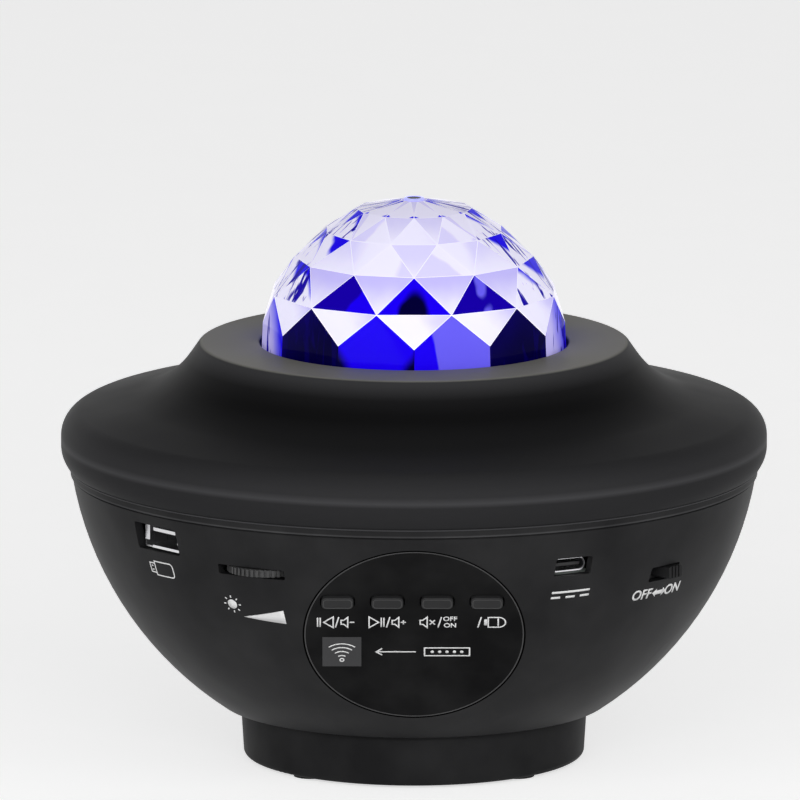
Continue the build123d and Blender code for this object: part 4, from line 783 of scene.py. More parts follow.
class FacetLayers:
    """Attributes that carry the painted light and shade of the dome's facets to its finish."""

    def __init__(self, bm):
        self.colours = [bm.faces.layers.float_vector.new(name) for name in ("facet_main", "facet_second")]
        self.cuts = [bm.faces.layers.float_vector.new(name) for name in ("facet_line", "facet_edge")]
        self.place = bm.loops.layers.float_vector.new("facet_place")

    def paint(self, face, kind, main, second):
        """Gives a facet its two colours and the curve between them."""
        cut = FACET_CUTS[kind]
        face[self.colours[0]], face[self.colours[1]] = main, second
        face[self.cuts[0]], face[self.cuts[1]] = cut[:3], cut[3:]

    def plain(self, faces, colour):
        """Gives faces one colour."""
        for face in faces:
            face[self.colours[0]] = face[self.colours[1]] = colour

    def lay(self, face, seed):
        """Lays a facet's own coordinates on its corners: across from -1 to 1, up from 0 to 1."""
        centre = face.calc_center_median()
        flat = Vector((centre.x, centre.y, 0)).normalized()
        right = Vector((-flat.y, flat.x, 0))
        low = min(vert.co.z for vert in face.verts)
        high = max(vert.co.z for vert in face.verts)
        half = max(abs((vert.co - centre).dot(right)) for vert in face.verts)
        for loop in face.loops:
            across = (loop.vert.co - centre).dot(right) / half
            loop[self.place] = (across, (loop.vert.co.z - low) / (high - low), seed)


class PROJECTOR_OT_dome(Operator):
    """Build the faceted dome with painted highlights and shadows along its edges and a smooth hollow"""

    bl_idname = "projector.dome"
    bl_label = "Dome"

    def execute(self, context):
        look = settings("dome_look")
        bm = bmesh.new()
        layers = FacetLayers(bm)
        rings = [[bm.verts.new(point) for point in ring] for ring in dome_rings()]
        base, *rows = rings
        facets = []
        for level, (low, high) in enumerate(zip(rows, rows[1:])):
            # Odd rows stand half a side on, so their neighbours run the other way
            step = level % 2
            for side in range(DOME_SIDES):
                after = (side + 1) % DOME_SIDES
                top = high[(side + step) % DOME_SIDES]
                if level == 0:
                    corners = [base[side], base[after], low[after], top, low[side]]
                else:
                    corners = [low[side], low[after], top]
                facets.append((0 if level == 0 else level + 1, side, True, corners))
                above = high[(side + step - 1) % DOME_SIDES]
                facets.append((level + 1, side, False, [low[side], top, above]))
        for number, (row, side, upright, corners) in enumerate(facets):
            face = bm.faces.new(corners)
            layers.lay(face, number)
            centre = face.calc_center_median()
            sideways = abs(centre.x) / centre.xy.length
            layers.paint(face, *facet_look(row, side, upright, sideways))
        layers.plain([bm.faces.new(rows[-1])], look.pale)
        shoulder_z = rows[0][0].co.z
        edges = [edge for edge in bm.edges if len(edge.link_faces) == 2]
        bevelled = bmesh.ops.bevel(
            bm, geom=edges, offset=look.edge / 2, segments=1, affect="EDGES", clamp_overlap=True
        )
        # Upper edges carry a painted highlight, lower ones a painted shadow
        highlit_edges = [face for face in bevelled["faces"] if face.calc_center_median().z > shoulder_z]
        shadow, shine = [0.1 * c for c in look.deep_blue], (0.9, 0.88, 1.0)
        layers.plain(bevelled["faces"], shadow)
        layers.plain(highlit_edges, shine)
        self.add_hollow(bm, layers)
        bmesh.ops.recalc_face_normals(bm, faces=bm.faces)
        new_piece("faceted_dome", bm, FINISHES["dome_clear"], "housing", ["dome"], 12.0)
        self.add_aperture()
        return {"FINISHED"}

    def add_hollow(self, bm, layers):
        """Smooth hollow under the facets, closed to them round the base."""
        radius = DOME_RADIUS - DOME_WALL
        centre_z = COLLAR_Z + DOME_HEIGHT - DOME_WALL - radius
        base_z = COLLAR_Z - WALL
        outer = [edge for edge in bm.edges if edge.is_boundary]
        segments = 8 * DOME_SIDES
        levels = 24
        start = asin((base_z - centre_z) / radius)
        before = None
        pole = bm.verts.new((0, 0, centre_z + radius))
        made = []
        rim = []
        for level in range(levels):
            angle = start + (pi / 2 - start) * level / levels
            ring_radius, height = radius * cos(angle), centre_z + radius * sin(angle)
            turns = [TURN * i / segments for i in range(segments)]
            ring = [bm.verts.new((ring_radius * sin(t), -ring_radius * cos(t), height)) for t in turns]
            for i in range(segments):
                j = (i + 1) % segments
                if before:
                    made.append(bm.faces.new([before[i], ring[i], ring[j], before[j]]))
                if level == levels - 1:
                    made.append(bm.faces.new([ring[i], pole, ring[j]]))
            rim = rim or ring
            before = ring
        # The hollow and the base carry painted glow colours too
        layers.plain(made, settings("dome_look").pale)
        inner = [bm.edges.get((rim[i], rim[(i + 1) % segments])) for i in range(segments)]
        filled = bmesh.ops.triangle_fill(bm, edges=outer + inner, use_beauty=True, use_dissolve=False)
        base = [item for item in filled["geom"] if isinstance(item, bmesh.types.BMFace)]
        layers.plain(base, settings("dome_look").bright_blue)

    def add_aperture(self):
        """Small clear ring with a dark eye on top of the dome."""
        low = COLLAR_Z + DOME_HEIGHT - EYE_SUNK
        high = COLLAR_Z + DOME_HEIGHT + APERTURE_HEIGHT
        eye_radius = EYE_SHARE * APERTURE_RADIUS
        ring = [
            (eye_radius, low, 0),
            (APERTURE_RADIUS, low, 0),
            (APERTURE_RADIUS, high, 0.15),
            (eye_radius, high, 0.1),
        ]
        bm = turned(closed_outline(ring, 4), segments=48)
        new_piece("dome_eye_ring", bm, FINISHES["lens_clear"], "housing")
        eye = [(0, low, 0), (eye_radius, low, 0), (eye_radius, high - 0.05, 0.1), (0, high - 0.15, 0)]
        bm = turned(rounded(eye, 4), segments=48, closed=False)
        new_piece("dome_eye", bm, FINISHES["chip_black"], "housing")


# Pieces that Geometry Nodes repeat


REPEAT_OUTPUTS = [("Geometry", "NodeSocketGeometry")]


def finish_repeat(tree, geometry, result, material):
    """Ends a tree in Realize Instances and Set Material."""
    real = add_node(tree, "GeometryNodeRealizeInstances", {"Geometry": geometry})
    painted = add_node(tree, "GeometryNodeSetMaterial", {"Geometry": real.outputs[0], "Material": material})
    tree.links.new(painted.outputs[0], result["Geometry"])


def repeated_mesh(name, tree, values):
    """Runs a tree with these input values and returns its result as a plain mesh."""
    maker = bpy.data.objects.new(name, bpy.data.meshes.new(name))
    bpy.context.scene.collection.objects.link(maker)
    modifier = maker.modifiers.new(name, "NODES")
    modifier.node_group = tree
    for item in tree.interface.items_tree:
        if item.in_out == "INPUT" and item.name in values:
            modifier[item.identifier] = values[item.name]
    graph = bpy.context.evaluated_depsgraph_get()
    mesh = bpy.data.meshes.new_from_object(maker.evaluated_get(graph), depsgraph=graph)
    maker.modifiers.remove(modifier)
    bpy.data.objects.remove(maker)
    return mesh


def ribs_tree(material):
    """Ribs in a ring round the upright axis."""
    inputs = [
        ("Count", "NodeSocketInt", 48),
        ("Radius", "NodeSocketFloat", 0.0095),
        ("Rib", "NodeSocketVector", (0.0006, 0.0005, 0.0018)),
    ]
    tree, given, result = new_tree("GeometryNodeTree", "Wheel Ribs", inputs, REPEAT_OUTPUTS)
    ring = add_node(tree, "GeometryNodeMeshCircle", {"Vertices": given["Count"], "Radius": given["Radius"]})
    rib = add_node(tree, "GeometryNodeMeshCube", {"Size": given["Rib"]})
    place = add_node(tree, "GeometryNodeInputPosition").outputs[0]
    facing = add_node(tree, "FunctionNodeAlignRotationToVector", {"Vector": place}, axis="Y", pivot_axis="Z")
    ribs = {"Points": ring.outputs[0], "Instance": rib.outputs["Mesh"], "Rotation": facing.outputs[0]}
    spread = add_node(tree, "GeometryNodeInstanceOnPoints", ribs)
    finish_repeat(tree, spread.outputs[0], result, material)
    return tree


def ripples_tree(material):
    """Low round lenses in a grid, kept between an inner and an outer radius."""
    inputs = [
        ("Pitch", "NodeSocketFloat", 0.0021),
        ("Inner", "NodeSocketFloat", 0.0115),
        ("Outer", "NodeSocketFloat", 0.0198),
        ("Rise", "NodeSocketFloat", 0.45),
    ]
    tree, given, result = new_tree("GeometryNodeTree", "Lens Ripples", inputs, REPEAT_OUTPUTS)
    span = add_math(tree, "MULTIPLY", given["Outer"], 2.0)
    count = add_math(tree, "DIVIDE", span, given["Pitch"])
    sizes = {"Size X": span, "Size Y": span, "Vertices X": count, "Vertices Y": count}
    grid = add_node(tree, "GeometryNodeMeshGrid", sizes)
    place = add_node(tree, "GeometryNodeInputPosition").outputs[0]
    reach = add_node(tree, "ShaderNodeVectorMath", {0: place}, operation="LENGTH").outputs["Value"]
    limits = (("GREATER_THAN", given["Inner"]), ("LESS_THAN", given["Outer"]))
    both = {}
    for i, (test, limit) in enumerate(limits):
        values = {0: reach, 1: limit}
        both[i] = add_node(tree, "FunctionNodeCompare", values, operation=test).outputs[0]
    kept = add_node(tree, "FunctionNodeBooleanMath", both, operation="AND").outputs[0]
    half = add_math(tree, "MULTIPLY", given["Pitch"], 0.5)
    ball = add_node(tree, "GeometryNodeMeshUVSphere", {"Segments": 12, "Rings": 6, "Radius": half})
    squash = add_node(tree, "ShaderNodeCombineXYZ", {"X": 1.0, "Y": 1.0, "Z": given["Rise"]}).outputs[0]
    balls = {"Points": grid.outputs[0], "Selection": kept, "Instance": ball.outputs["Mesh"], "Scale": squash}
    spread = add_node(tree, "GeometryNodeInstanceOnPoints", balls)
    finish_repeat(tree, spread.outputs[0], result, material)
    return tree


def wheel_axis():
    """Plan position of the dimmer's axle."""
    reach = sqrt(BOWL_RADIUS**2 - (BOWL_CENTRE_Z - WHEEL_Z) ** 2) + WHEEL_PROUD - WHEEL_RADIUS
    return reach * sin(radians(WHEEL_AZIMUTH)), -reach * cos(radians(WHEEL_AZIMUTH))


class PROJECTOR_OT_wheel(Operator):
    """Build the dimmer wheel: a dished disc with ribs round its edge"""

    bl_idname = "projector.wheel"
    bl_label = "Dimmer wheel"

    def execute(self, context):
        look = settings("wheel_look")
        half = WHEEL_THICKNESS / 2
        body_radius = WHEEL_RADIUS - look.rib_depth
        corners = [
            (WHEEL_BORE, -half, 0),
            (body_radius, -half, 0.2),
            (body_radius, half, 0.2),
            (WHEEL_DISH_RADIUS, half, 0.1),
            (WHEEL_DISH_RADIUS, half - WHEEL_DISH_DEPTH, 0),
            (WHEEL_BORE, half - WHEEL_DISH_DEPTH, 0),
        ]
        bm = turned(rounded(corners, 4), segments=96)
        rib_radius = body_radius + look.rib_depth / 4
        rib_width = 0.5 * TURN * WHEEL_RADIUS / look.ribs
        rib = Vector((rib_width, 1.5 * look.rib_depth, WHEEL_THICKNESS - 0.2)) * TO_METRES
        values = {"Count": look.ribs, "Radius": rib_radius * TO_METRES, "Rib": rib}
        ribs = repeated_mesh("wheel_ribs", ribs_tree(FINISHES["wheel_grey"]), values)
        ribs.transform(Matrix.Scale(1 / TO_METRES, 4))
        bm.from_mesh(ribs)
        bm.transform(Matrix.Translation((*wheel_axis(), WHEEL_Z)))
        new_piece("ribbed_wheel", bm, FINISHES["wheel_grey"], "dimmer", ["dimmer_wheel"])
        return {"FINISHED"}


class PROJECTOR_OT_ripples(Operator):
    """Cover the spinning lens with its ripples"""

    bl_idname = "projector.ripples"
    bl_label = "Lens ripples"

    def execute(self, context):
        look = settings("wheel_look")
        gear_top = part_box("rotor_gear")[1].z
        values = {
            "Pitch": look.ripple_pitch * TO_METRES,
            "Inner": (LENS_HUB_RADIUS + look.ripple_pitch / 2) * TO_METRES,
            "Outer": (LENS_RADIUS - look.ripple_pitch / 2) * TO_METRES,
        }
        mesh = repeated_mesh("lens_ripples", ripples_tree(FINISHES["lens_clear"]), values)
        mesh.transform(Matrix.Translation((0, 0, gear_top)))
        mesh.shade_smooth()
        ride_piece(bpy.data.objects.new("lens_ripples", mesh), "rotor")
        return {"FINISHED"}


# Printed signs: flat outlines in millimetres, laid on the panel or on the bowl


def panel_frame():
    """Matrix from panel millimetres to millimetres in the object's frame, z out of the panel."""
    tilt = radians(PANEL_TILT)
    reach = sqrt(BOWL_RADIUS**2 - FACET_RADIUS**2)
    out = Vector((0, -cos(tilt), -sin(tilt)))
    across = Vector((1, 0, 0))
    up = out.cross(across)
    place = Vector((0, 0, BOWL_CENTRE_Z)) + out * reach
    return Matrix.Translation(place) @ Matrix((across, up, out)).transposed().to_4x4()


def on_panel(point):
    """Point of a sign on the panel's face."""
    return panel_frame() @ Vector((point[0], point[1], settings("housing_look").print_height))


def on_key(point):
    """Point on the face of a key."""
    return panel_frame() @ Vector((point[0], point[1], BUTTON_PROUD + settings("housing_look").print_height))


def on_bowl(azimuth, height):
    """Placer of signs on the bowl, from a middle at this azimuth and height."""
    rise = height - BOWL_CENTRE_Z
    reach = sqrt(BOWL_RADIUS**2 - rise**2)
    turn = radians(azimuth)
    out = Vector((reach * sin(turn), -reach * cos(turn), rise)).normalized()
    across = Vector((cos(turn), sin(turn), 0))
    up = out.cross(across)

    def place(point):
        along = out * BOWL_RADIUS + across * point[0] + up * point[1]
        lifted = BOWL_RADIUS + settings("housing_look").print_height
        return Vector((0, 0, BOWL_CENTRE_Z)) + along.normalized() * lifted

    return place


def divided(path, closed):
    """Path with points added so that no run is over a millimetre long."""
    finer = []
    for i, point in enumerate(path):
        finer.append(point)
        if i == len(path) - 1 and not closed:
            break
        after = path[(i + 1) % len(path)]
        steps = ceil((after - point).length)
        finer += [point.lerp(after, step / steps) for step in range(1, steps)]
    return finer


def circle(centre, radius, start=0.0, sweep=360.0, count=24):
    """Points on an arc of a circle."""
    angles = [radians(start + sweep * i / count) for i in range(count + (sweep < 360))]
    return [(centre[0] + radius * cos(a), centre[1] + radius * sin(a)) for a in angles]


def moved(points, x, y=0.0, size=1.0):
    """Points scaled and moved."""
    return [(x + size * px, y + size * py) for px, py in points]


class Ink:
    """Flat ink in a mesh, drawn round a middle point and laid on a surface by its placer."""

    def __init__(self, bm, place, middle=(0.0, 0.0)):
        self.bm = bm
        self.place = place
        self.middle = middle

    def spot(self, point):
        """New corner of the mesh."""
        return self.bm.verts.new(self.place(point))

    def line(self, points, width=SIGN_LINE, closed=False):
        """Line of this width through the points, with mitred corners."""
        path = divided([Vector(point) for point in moved(points, *self.middle)], closed)
        last = len(path) - 1
        sides = []
        for i, point in enumerate(path):
            back = (point - path[i - 1]).normalized() if closed or i > 0 else None
            ahead = (path[(i + 1) % len(path)] - point).normalized() if closed or i < last else None
            along = ((back or ahead) + (ahead or back)).normalized()
            across = Vector((-along.y, along.x))
            edge = ahead or back
            mitre = 1 / max(MITRE_SHARE, abs(across.dot(Vector((-edge.y, edge.x)))))
            reach = across * (width / 2 * mitre)
            sides.append((point + reach, point - reach))
        corners = [(self.spot(left), self.spot(right)) for left, right in sides]
        following = corners[1:] + corners[:1] if closed else corners[1:]
        for (left, right), (next_left, next_right) in zip(corners, following):
            self.bm.faces.new([left, right, next_right, next_left])

    def patch(self, points):
        """Solid area inside an outline that runs anticlockwise."""
        self.bm.faces.new([self.spot(point) for point in moved(points, *self.middle)])

    def words(self, words, height, at):
        """Lettering of this height round a point."""
        curve = bpy.data.curves.new("words", "FONT")
        curve.body = words
        curve.size = height / CAPITAL_SHARE
        curve.align_x = "CENTER"
        curve.align_y = "CENTER"
        curve.offset = BOLD_SHARE * height
        writer = bpy.data.objects.new("words", curve)
        bpy.context.scene.collection.objects.link(writer)
        graph = bpy.context.evaluated_depsgraph_get()
        mesh = bpy.data.meshes.new_from_object(writer.evaluated_get(graph), depsgraph=graph)
        bpy.data.objects.remove(writer)
        x, y = self.middle[0] + at[0], self.middle[1] + at[1]
        corners = [self.spot((vert.co.x + x, vert.co.y + y)) for vert in mesh.vertices]
        for polygon in mesh.polygons:
            self.bm.faces.new([corners[i] for i in polygon.vertices])
        bpy.data.meshes.remove(mesh)


def print_piece(name, bm, finish="print_white", body="housing"):
    """Turns flat ink into a thin printed piece."""
    piece = new_piece(name, bm, FINISHES[finish], body)
    skin = piece.modifiers.new("ink", "SOLIDIFY")
    skin.thickness = settings("housing_look").print_height * TO_METRES
    skin.offset = -1.0


SPEAKER = [(-0.8, -0.7), (-0.1, -0.7), (1.0, -1.8), (1.0, 1.8), (-0.1, 0.7), (-0.8, 0.7)]
TRIANGLE = [(-1.1, 0.0), (1.1, -1.65), (1.1, 1.65)]


class PROJECTOR_OT_panel(Operator):
    """Print the signs under the keys and on the window, and lay painted highlights and shadow round the
    panel's edge and the keys
    """

    bl_idname = "projector.panel"
    bl_label = "Key panel"

    def execute(self, context):
        signs = (self.add_skip, self.add_play, self.add_mute, self.add_stick)
        shifts = (0.0, 0.0, 0.0, STICK_SHIFT)
        bm = bmesh.new()
        for add_sign, x, shift in zip(signs, BUTTON_PLACES, shifts):
            add_sign(Ink(bm, on_panel, (x + shift, BUTTON_ROW_Y - SIGN_DROP)))
        self.add_handset(Ink(bm, on_panel, (HANDSET_X, WINDOW_PLACE[1])))
        print_piece("key_signs", bm)
        bm = bmesh.new()
        self.add_signal(Ink(bm, on_panel, WINDOW_PLACE))
        print_piece("window_sign", bm)
        self.add_edge()
        self.add_key_highlights()
        return {"FINISHED"}

    def add_bars(self, ink, *places):
        """Upright bars."""
        for x in places:
            ink.line([(x, -1.4), (x, 1.4)])

    def add_slash(self, ink, x):
        """Stroke between two signs."""
        ink.line([(x - 0.4, -1.6), (x + 0.4, 1.6)])

    def add_skip(self, ink):
        """Back to the last track, and softer."""
        self.add_bars(ink, -4.6, -4.0)
        ink.line(moved(TRIANGLE, -2.1), closed=True)
        self.add_slash(ink, -0.1)
        ink.line(moved(SPEAKER, 1.5, size=0.85), closed=True)
        ink.line([(2.8, 0), (3.9, 0)])

    def add_play(self, ink):
        """Play or pause, and louder."""
        ink.line(moved([(-x, y) for x, y in TRIANGLE], -3.1), closed=True)
        self.add_bars(ink, -1.4, -0.8)
        self.add_slash(ink, 0.2)
        ink.line(moved(SPEAKER, 1.8, size=0.85), closed=True)
        ink.line([(3.1, 0), (4.3, 0)])
        ink.line([(3.7, -0.6), (3.7, 0.6)])

    def add_mute(self, ink):
        """Silent, off or on."""
        ink.line(moved(SPEAKER, -3.2, size=0.9), closed=True)
        for lean in (-0.7, 0.7):
            ink.line([(-1.7, -lean), (-0.5, lean)])
        self.add_slash(ink, 0.6)
        ink.words("OFF", 1.3, (3.0, 1.0))
        ink.words("ON", 1.3, (3.0, -1.0))

    def add_stick(self, ink):
        """Memory stick as the source."""
        self.add_slash(ink, -2.9)
        ink.line([(-1.5, -0.9), (-1.5, 0.9)], 0.7)
        ink.line([(-0.9, -1.5), *circle((1.6, 0), 1.5, -90, 180, 10), (-0.9, 1.5)], closed=True)
        ink.line([(1.4, -1.35), (1.4, 1.35)])

    def add_handset(self, ink):
        """Handset with an arrow towards the window."""
        ink.line([(-5.2, -1.2), (5.2, -1.2), (5.2, 1.2), (-5.2, 1.2)], closed=True)
        for key in (-3.4, -1.7, 0.0, 1.7, 3.4):
            ink.patch(circle((key, 0), 0.4, count=12))
        ink.line([(-16.2, 0), (-7.2, 0)])
        ink.line([(-15.0, 1.0), (-16.4, 0), (-15.0, -1.0)])

    def add_signal(self, ink):
        """Signal arcs over a ring."""
        foot = (0, -2.5)
        ink.line(circle(foot, 0.45, count=16), 0.28, closed=True)
        for radius in (1.35, 2.6, 3.8, 4.95):
            ink.line(circle(foot, radius, 52, 76, 14), 0.3)

    def add_edge(self):
        """Rounded edge of the panel with a painted highlight, and a dark ring laid on the ledge round it as
        painted shadow in the gap.
        """
        edge_radius = PANEL_RADIUS - PANEL_EDGE_INSET
        # Name, finish, inner and outer radius, height and fillet
        rings = (
            # Pale ring on the panel's edge: painted highlight
            ("panel_edge", "edge_highlight", PANEL_RADIUS - PANEL_EDGE_WIDTH, edge_radius, 0.05, 0.12),
            # Dark ring on the ledge round the panel: painted shadow of the gap
            ("panel_gap_shadow", "gap_painted_shadow", edge_radius, FACET_RADIUS - 0.04, 0.03, 0.0),
        )
        for name, finish, inner, outer, height, fillet in rings:
            corners = [(inner, -0.2, 0), (outer, -0.2, 0), (outer, height, fillet), (inner, height, fillet)]
            bm = turned(closed_outline(corners, 4), segments=160)
            bm.transform(panel_frame())
            new_piece(name, bm, FINISHES[finish], "housing")

    def add_key_highlights(self):
        """Fine pale rim on the face of each key, a painted highlight of its rounded edge."""
        half_width, half_height = (size / 2 - BUTTON_CORNER for size in BUTTON_SIZE)
        # Side and end of the key at each corner, and the angle where its arc starts
        corners = ((1, -1, -90), (1, 1, 0), (-1, 1, 90), (-1, -1, 180))
        for key, x in zip(KEYS, BUTTON_PLACES):
            outline = []
            for side, end, start in corners:
                centre = (x + side * half_width, BUTTON_ROW_Y + end * half_height)
                outline += circle(centre, BUTTON_CORNER - KEY_RIM_INSET, start, 90, 6)
            bm = bmesh.new()
            Ink(bm, on_key).line(outline, KEY_RIM_WIDTH, closed=True)
            print_piece(f"{key}_rim", bm, "edge_highlight", f"{key}_key")


class PROJECTOR_OT_socket(Operator):
    """Bend the bright spring tabs into the memory-stick socket's mouth"""

    bl_idname = "projector.socket"
    bl_label = "Socket tabs"

    def execute(self, context):
        turn = radians(SOCKET_AZIMUTH)
        reach = sqrt(BOWL_RADIUS**2 - (SOCKET_Z - BOWL_CENTRE_Z) ** 2) - SOCKET_SETBACK
        out = Vector((sin(turn), -cos(turn), 0))
        across = Vector((cos(turn), sin(turn), 0))
        turned_frame = Matrix((across, Vector((0, 0, 1)), out)).transposed().to_4x4()
        frame_matrix = Matrix.Translation((*(out * reach).xy, SOCKET_Z)) @ turned_frame
        half_width, half_height = (size / 2 - SOCKET_WALL for size in SOCKET_MOUTH)
        # Foot and head of each tab, and the run of its plate
        tabs = [
            ((side * half_width, -1.1, 0.1), (side * (half_width - 1.5), -1.1, 0.0), (0, 3.4, 0))
            for side in (-1, 1)
        ]
        tabs.append(((-3.4, half_height - 0.5, 0.15), (-3.4, half_height - 1.3, 0.0), (7.8, 0, 0)))
        tabs.append(((-4.0, -half_height - 0.3, 0.15), (-4.0, -half_height + 0.25, 0.0), (9.4, 0, 0)))
        bm = bmesh.new()
        for tab in tabs:
            self.add_tab(bm, *(Vector(part) for part in tab))
        bmesh.ops.recalc_face_normals(bm, faces=bm.faces)
        bm.transform(frame_matrix)
        new_piece("socket_tabs", bm, FINISHES["socket_steel"], "housing")
        return {"FINISHED"}

    def add_tab(self, bm, foot, head, run):
        """Thin plate that leans into the mouth from one of its walls."""
        thick = (head - foot).cross(run).normalized() * SOCKET_WALL
        corners = [foot, head, head + thick, foot + thick]
        near = [bm.verts.new(corner) for corner in corners]
        far = [bm.verts.new(corner + run) for corner in corners]
        bm.faces.new(near)
        bm.faces.new(far)
        for i in range(4):
            bm.faces.new([near[i], near[(i + 1) % 4], far[(i + 1) % 4], far[i]])


class PROJECTOR_OT_bowl_signs(Operator):
    """Print the signs by the sockets, the wheel and the switch"""

    bl_idname = "projector.bowl_signs"
    bl_label = "Bowl signs"

    def execute(self, context):
        # Each sign with the azimuth and the height of its middle
        signs = (
            (self.add_stick, -49.6, 54.2),
            (self.add_sun, -34.4, 48.4),
            (self.add_wedge, -28.2, 45.4),
            (self.add_direct, 28.5, 51.8),
            (self.add_switch, 49.5, 48.6),
        )
        bm = bmesh.new()
        for add_sign, azimuth, height in signs:
            add_sign(Ink(bm, on_bowl(azimuth, height)))
        print_piece("bowl_signs", bm)
        return {"FINISHED"}

    def add_stick(self, ink):
        """Memory stick."""
        body = [(-2.4, -1.8), *circle((3.0, -0.9), 0.9, -90, 90, 6), *circle((3.0, 0.9), 0.9, 0, 90, 6)]
        ink.line([*body, (-2.4, 1.8)], closed=True)
        ink.line([(-2.4, -1.2), (-4.2, -1.2), (-4.2, 1.2), (-2.4, 1.2)])
        for y in (-0.5, 0.5):
            ink.line([(-3.7, y), (-3.1, y)])

    def add_sun(self, ink):
        """Sun for the brightness."""
        ink.patch(circle((0, 0), 1.25))
        rays = 8
        for i in range(rays):
            turn = TURN * i / rays
            ray = Vector((cos(turn), sin(turn)))
            ink.line([ray * 1.75, ray * 2.35])

    def add_wedge(self, ink):
        """Wedge that grows with the brightness."""
        left, length, drop, rise, steps = -5.6, 11.0, 0.85, 2.9, 8
        tip = ink.spot((left, 0))
        shares = [i / steps for i in range(1, steps + 1)]
        ends = [(left + length * share, -drop * share, rise * share) for share in shares]
        pairs = [(ink.spot((x, low)), ink.spot((x, high))) for x, low, high in ends]
        ink.bm.faces.new([tip, *pairs[0]])
        for (low, high), (next_low, next_high) in zip(pairs, pairs[1:]):
            ink.bm.faces.new([low, next_low, next_high, high])

    def add_direct(self, ink):
        """Sign of direct current."""
        width, dash, pitch = 0.55, 2.4, 3.8
        ink.line([(-5.0, 0.7), (5.0, 0.7)], width)
        for i in range(3):
            start = -5.0 + pitch * i
            ink.line([(start, -0.7), (start + dash, -0.7)], width)

    def add_switch(self, ink):
        """Off and on with an arrow between them."""
        ink.words("OFF", 2.6, (-5.7, 0))
        ink.words("ON", 2.6, (5.2, 0))
        ink.line([(-1.2, 0), (1.6, 0)], 1.1)
        for side in (-1, 1):
            ink.patch(moved([(side * 2.4, 0), (side * 1.1, side * 1.1), (side * 1.1, -side * 1.1)], 0.2))


# Stage


def seen_rays(tree):
    """Mask of the rays that see the surroundings: from the camera, in mirrors and through glass."""
    rays = add_node(tree, "ShaderNodeLightPath").outputs
    seen = rays["Is Camera Ray"]
    for kind in ("Is Glossy Ray", "Is Transmission Ray"):
        seen = add_math(tree, "MAXIMUM", seen, rays[kind])
    return seen


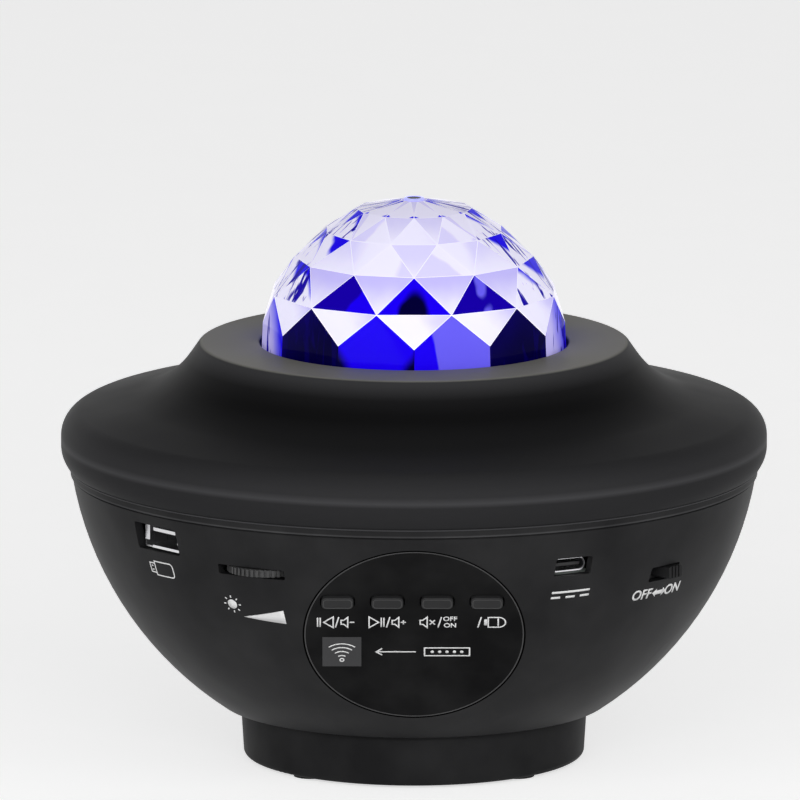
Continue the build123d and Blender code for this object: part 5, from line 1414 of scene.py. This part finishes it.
class PROJECTOR_OT_stage(Operator):
    """Set the floor, the light and the camera"""

    bl_idname = "projector.stage"
    bl_label = "Stage"

    def execute(self, context):
        self.add_floor()
        self.add_world(context.scene)
        self.add_lamps()
        self.add_camera(context.scene)
        context.scene.view_settings.view_transform = "Standard"
        return {"FINISHED"}

    def add_floor(self):
        """Plain pale floor."""
        bm = bmesh.new()
        bmesh.ops.create_grid(bm, x_segments=1, y_segments=1, size=6.0)
        mesh = bpy.data.meshes.new("floor")
        bm.to_mesh(mesh)
        bm.free()
        material, tree, shader = new_finish("floor_pale")
        shades = {"Colour": opaque(settings("stage_look").floor_colour), "Second": (0.88, 0.88, 0.88, 1)}
        tone = place_group(tree, "Tone Drift", shades)
        glow = add_range(tree, {"Value": seen_rays(tree), "To Min": 0.25, "To Max": 0.62})
        tree.links.new(tone["Colour"], shader["Base Color"])
        tree.links.new(glow, shader["Emission Strength"])
        shader["Emission Color"].default_value = (1, 1, 1, 1)
        shader["Roughness"].default_value = 0.9
        shader["Specular IOR Level"].default_value = 0.1
        mesh.materials.append(material)
        floor = bpy.data.objects.new("floor", mesh)
        bpy.context.scene.collection.objects.link(floor)

    def add_world(self, scene):
        """Pale surroundings under a dark ceiling, white behind the object and in what reflects them."""
        world = bpy.data.worlds.new("surroundings")
        world.use_nodes = True
        scene.world = world
        tree = world.node_tree
        back = tree.nodes["Background"].inputs
        aim = add_node(tree, "ShaderNodeTexCoord").outputs["Generated"]
        height = add_node(tree, "ShaderNodeSeparateXYZ", {"Vector": aim}).outputs["Z"]
        ceiling = {"Value": height, "From Min": 0.3, "From Max": 0.7, "To Min": 1.0, "To Max": 0.15}
        share = add_range(tree, {"Value": seen_rays(tree), "To Min": 0.5})
        back["Color"].default_value = (1, 1, 1, 1)
        tree.links.new(add_math(tree, "MULTIPLY", add_range(tree, ceiling), share), back["Strength"])

    def add_lamps(self):
        """Soft lamps low at both sides and a strip in front."""
        # Name, place, width, height and power
        lamps = (
            ("left_lamp", (-0.9, -0.9, 0.35), 0.8, 0.8, 3.2),
            ("right_lamp", (0.95, -0.8, 0.3), 0.8, 0.8, 3.6),
            ("ridge_lamp", (0.0, -1.6, 0.55), 1.6, 0.14, 9.0),
        )
        aim = Vector((0, 0, 0.07))
        for name, place, width, height, power in lamps:
            light = bpy.data.lights.new(name, "AREA")
            light.shape = "RECTANGLE"
            light.size = width
            light.size_y = height
            light.energy = power
            lamp = bpy.data.objects.new(name, light)
            lamp.location = place
            lamp.rotation_euler = (aim - Vector(place)).to_track_quat("-Z", "Y").to_euler()
            bpy.context.scene.collection.objects.link(lamp)

    def add_camera(self, scene):
        """Long lens at the photograph's viewing angle."""
        look = settings("stage_look")
        data = bpy.data.cameras.new("camera")
        data.lens = look.lens
        data.sensor_width = 36.0
        data.clip_end = 50.0
        camera = bpy.data.objects.new("camera", data)
        aim = Vector(CAMERA_AIM) * TO_METRES
        back = Vector((0, -cos(look.elevation), sin(look.elevation)))
        camera.location = aim + back * look.distance
        camera.rotation_euler = (-back).to_track_quat("-Z", "Y").to_euler()
        scene.collection.objects.link(camera)
        scene.camera = camera


STEPS = (
    PROJECTOR_OT_finishes,
    PROJECTOR_OT_upper_shell,
    PROJECTOR_OT_dome,
    PROJECTOR_OT_ripples,
    PROJECTOR_OT_wheel,
    PROJECTOR_OT_panel,
    PROJECTOR_OT_socket,
    PROJECTOR_OT_bowl_signs,
    PROJECTOR_OT_stage,
)


class PROJECTOR_PT_sidebar(Panel):
    """Sidebar panel that lists the steps"""

    bl_idname = "PROJECTOR_PT_sidebar"
    bl_label = "Star Projector"
    bl_space_type = "VIEW_3D"
    bl_region_type = "UI"
    bl_category = "Projector"

    def draw(self, context):
        for step in STEPS:
            self.layout.operator(step.bl_idname)


SETTINGS = {
    "housing_look": HousingSettings,
    "dome_look": DomeSettings,
    "wheel_look": WheelSettings,
    "stage_look": StageSettings,
}


def register():
    for name, group in SETTINGS.items():
        bpy.utils.register_class(group)
        setattr(bpy.types.Scene, name, PointerProperty(type=group))
    for step in (*STEPS, PROJECTOR_PT_sidebar):
        bpy.utils.register_class(step)


def unregister():
    for step in reversed((*STEPS, PROJECTOR_PT_sidebar)):
        bpy.utils.unregister_class(step)
    for name, group in SETTINGS.items():
        delattr(bpy.types.Scene, name)
        bpy.utils.unregister_class(group)


def main():
    register()
    for step in STEPS:
        group, name = step.bl_idname.split(".")
        getattr(getattr(bpy.ops, group), name)()
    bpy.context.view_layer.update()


if __name__ == "__main__":
    main()
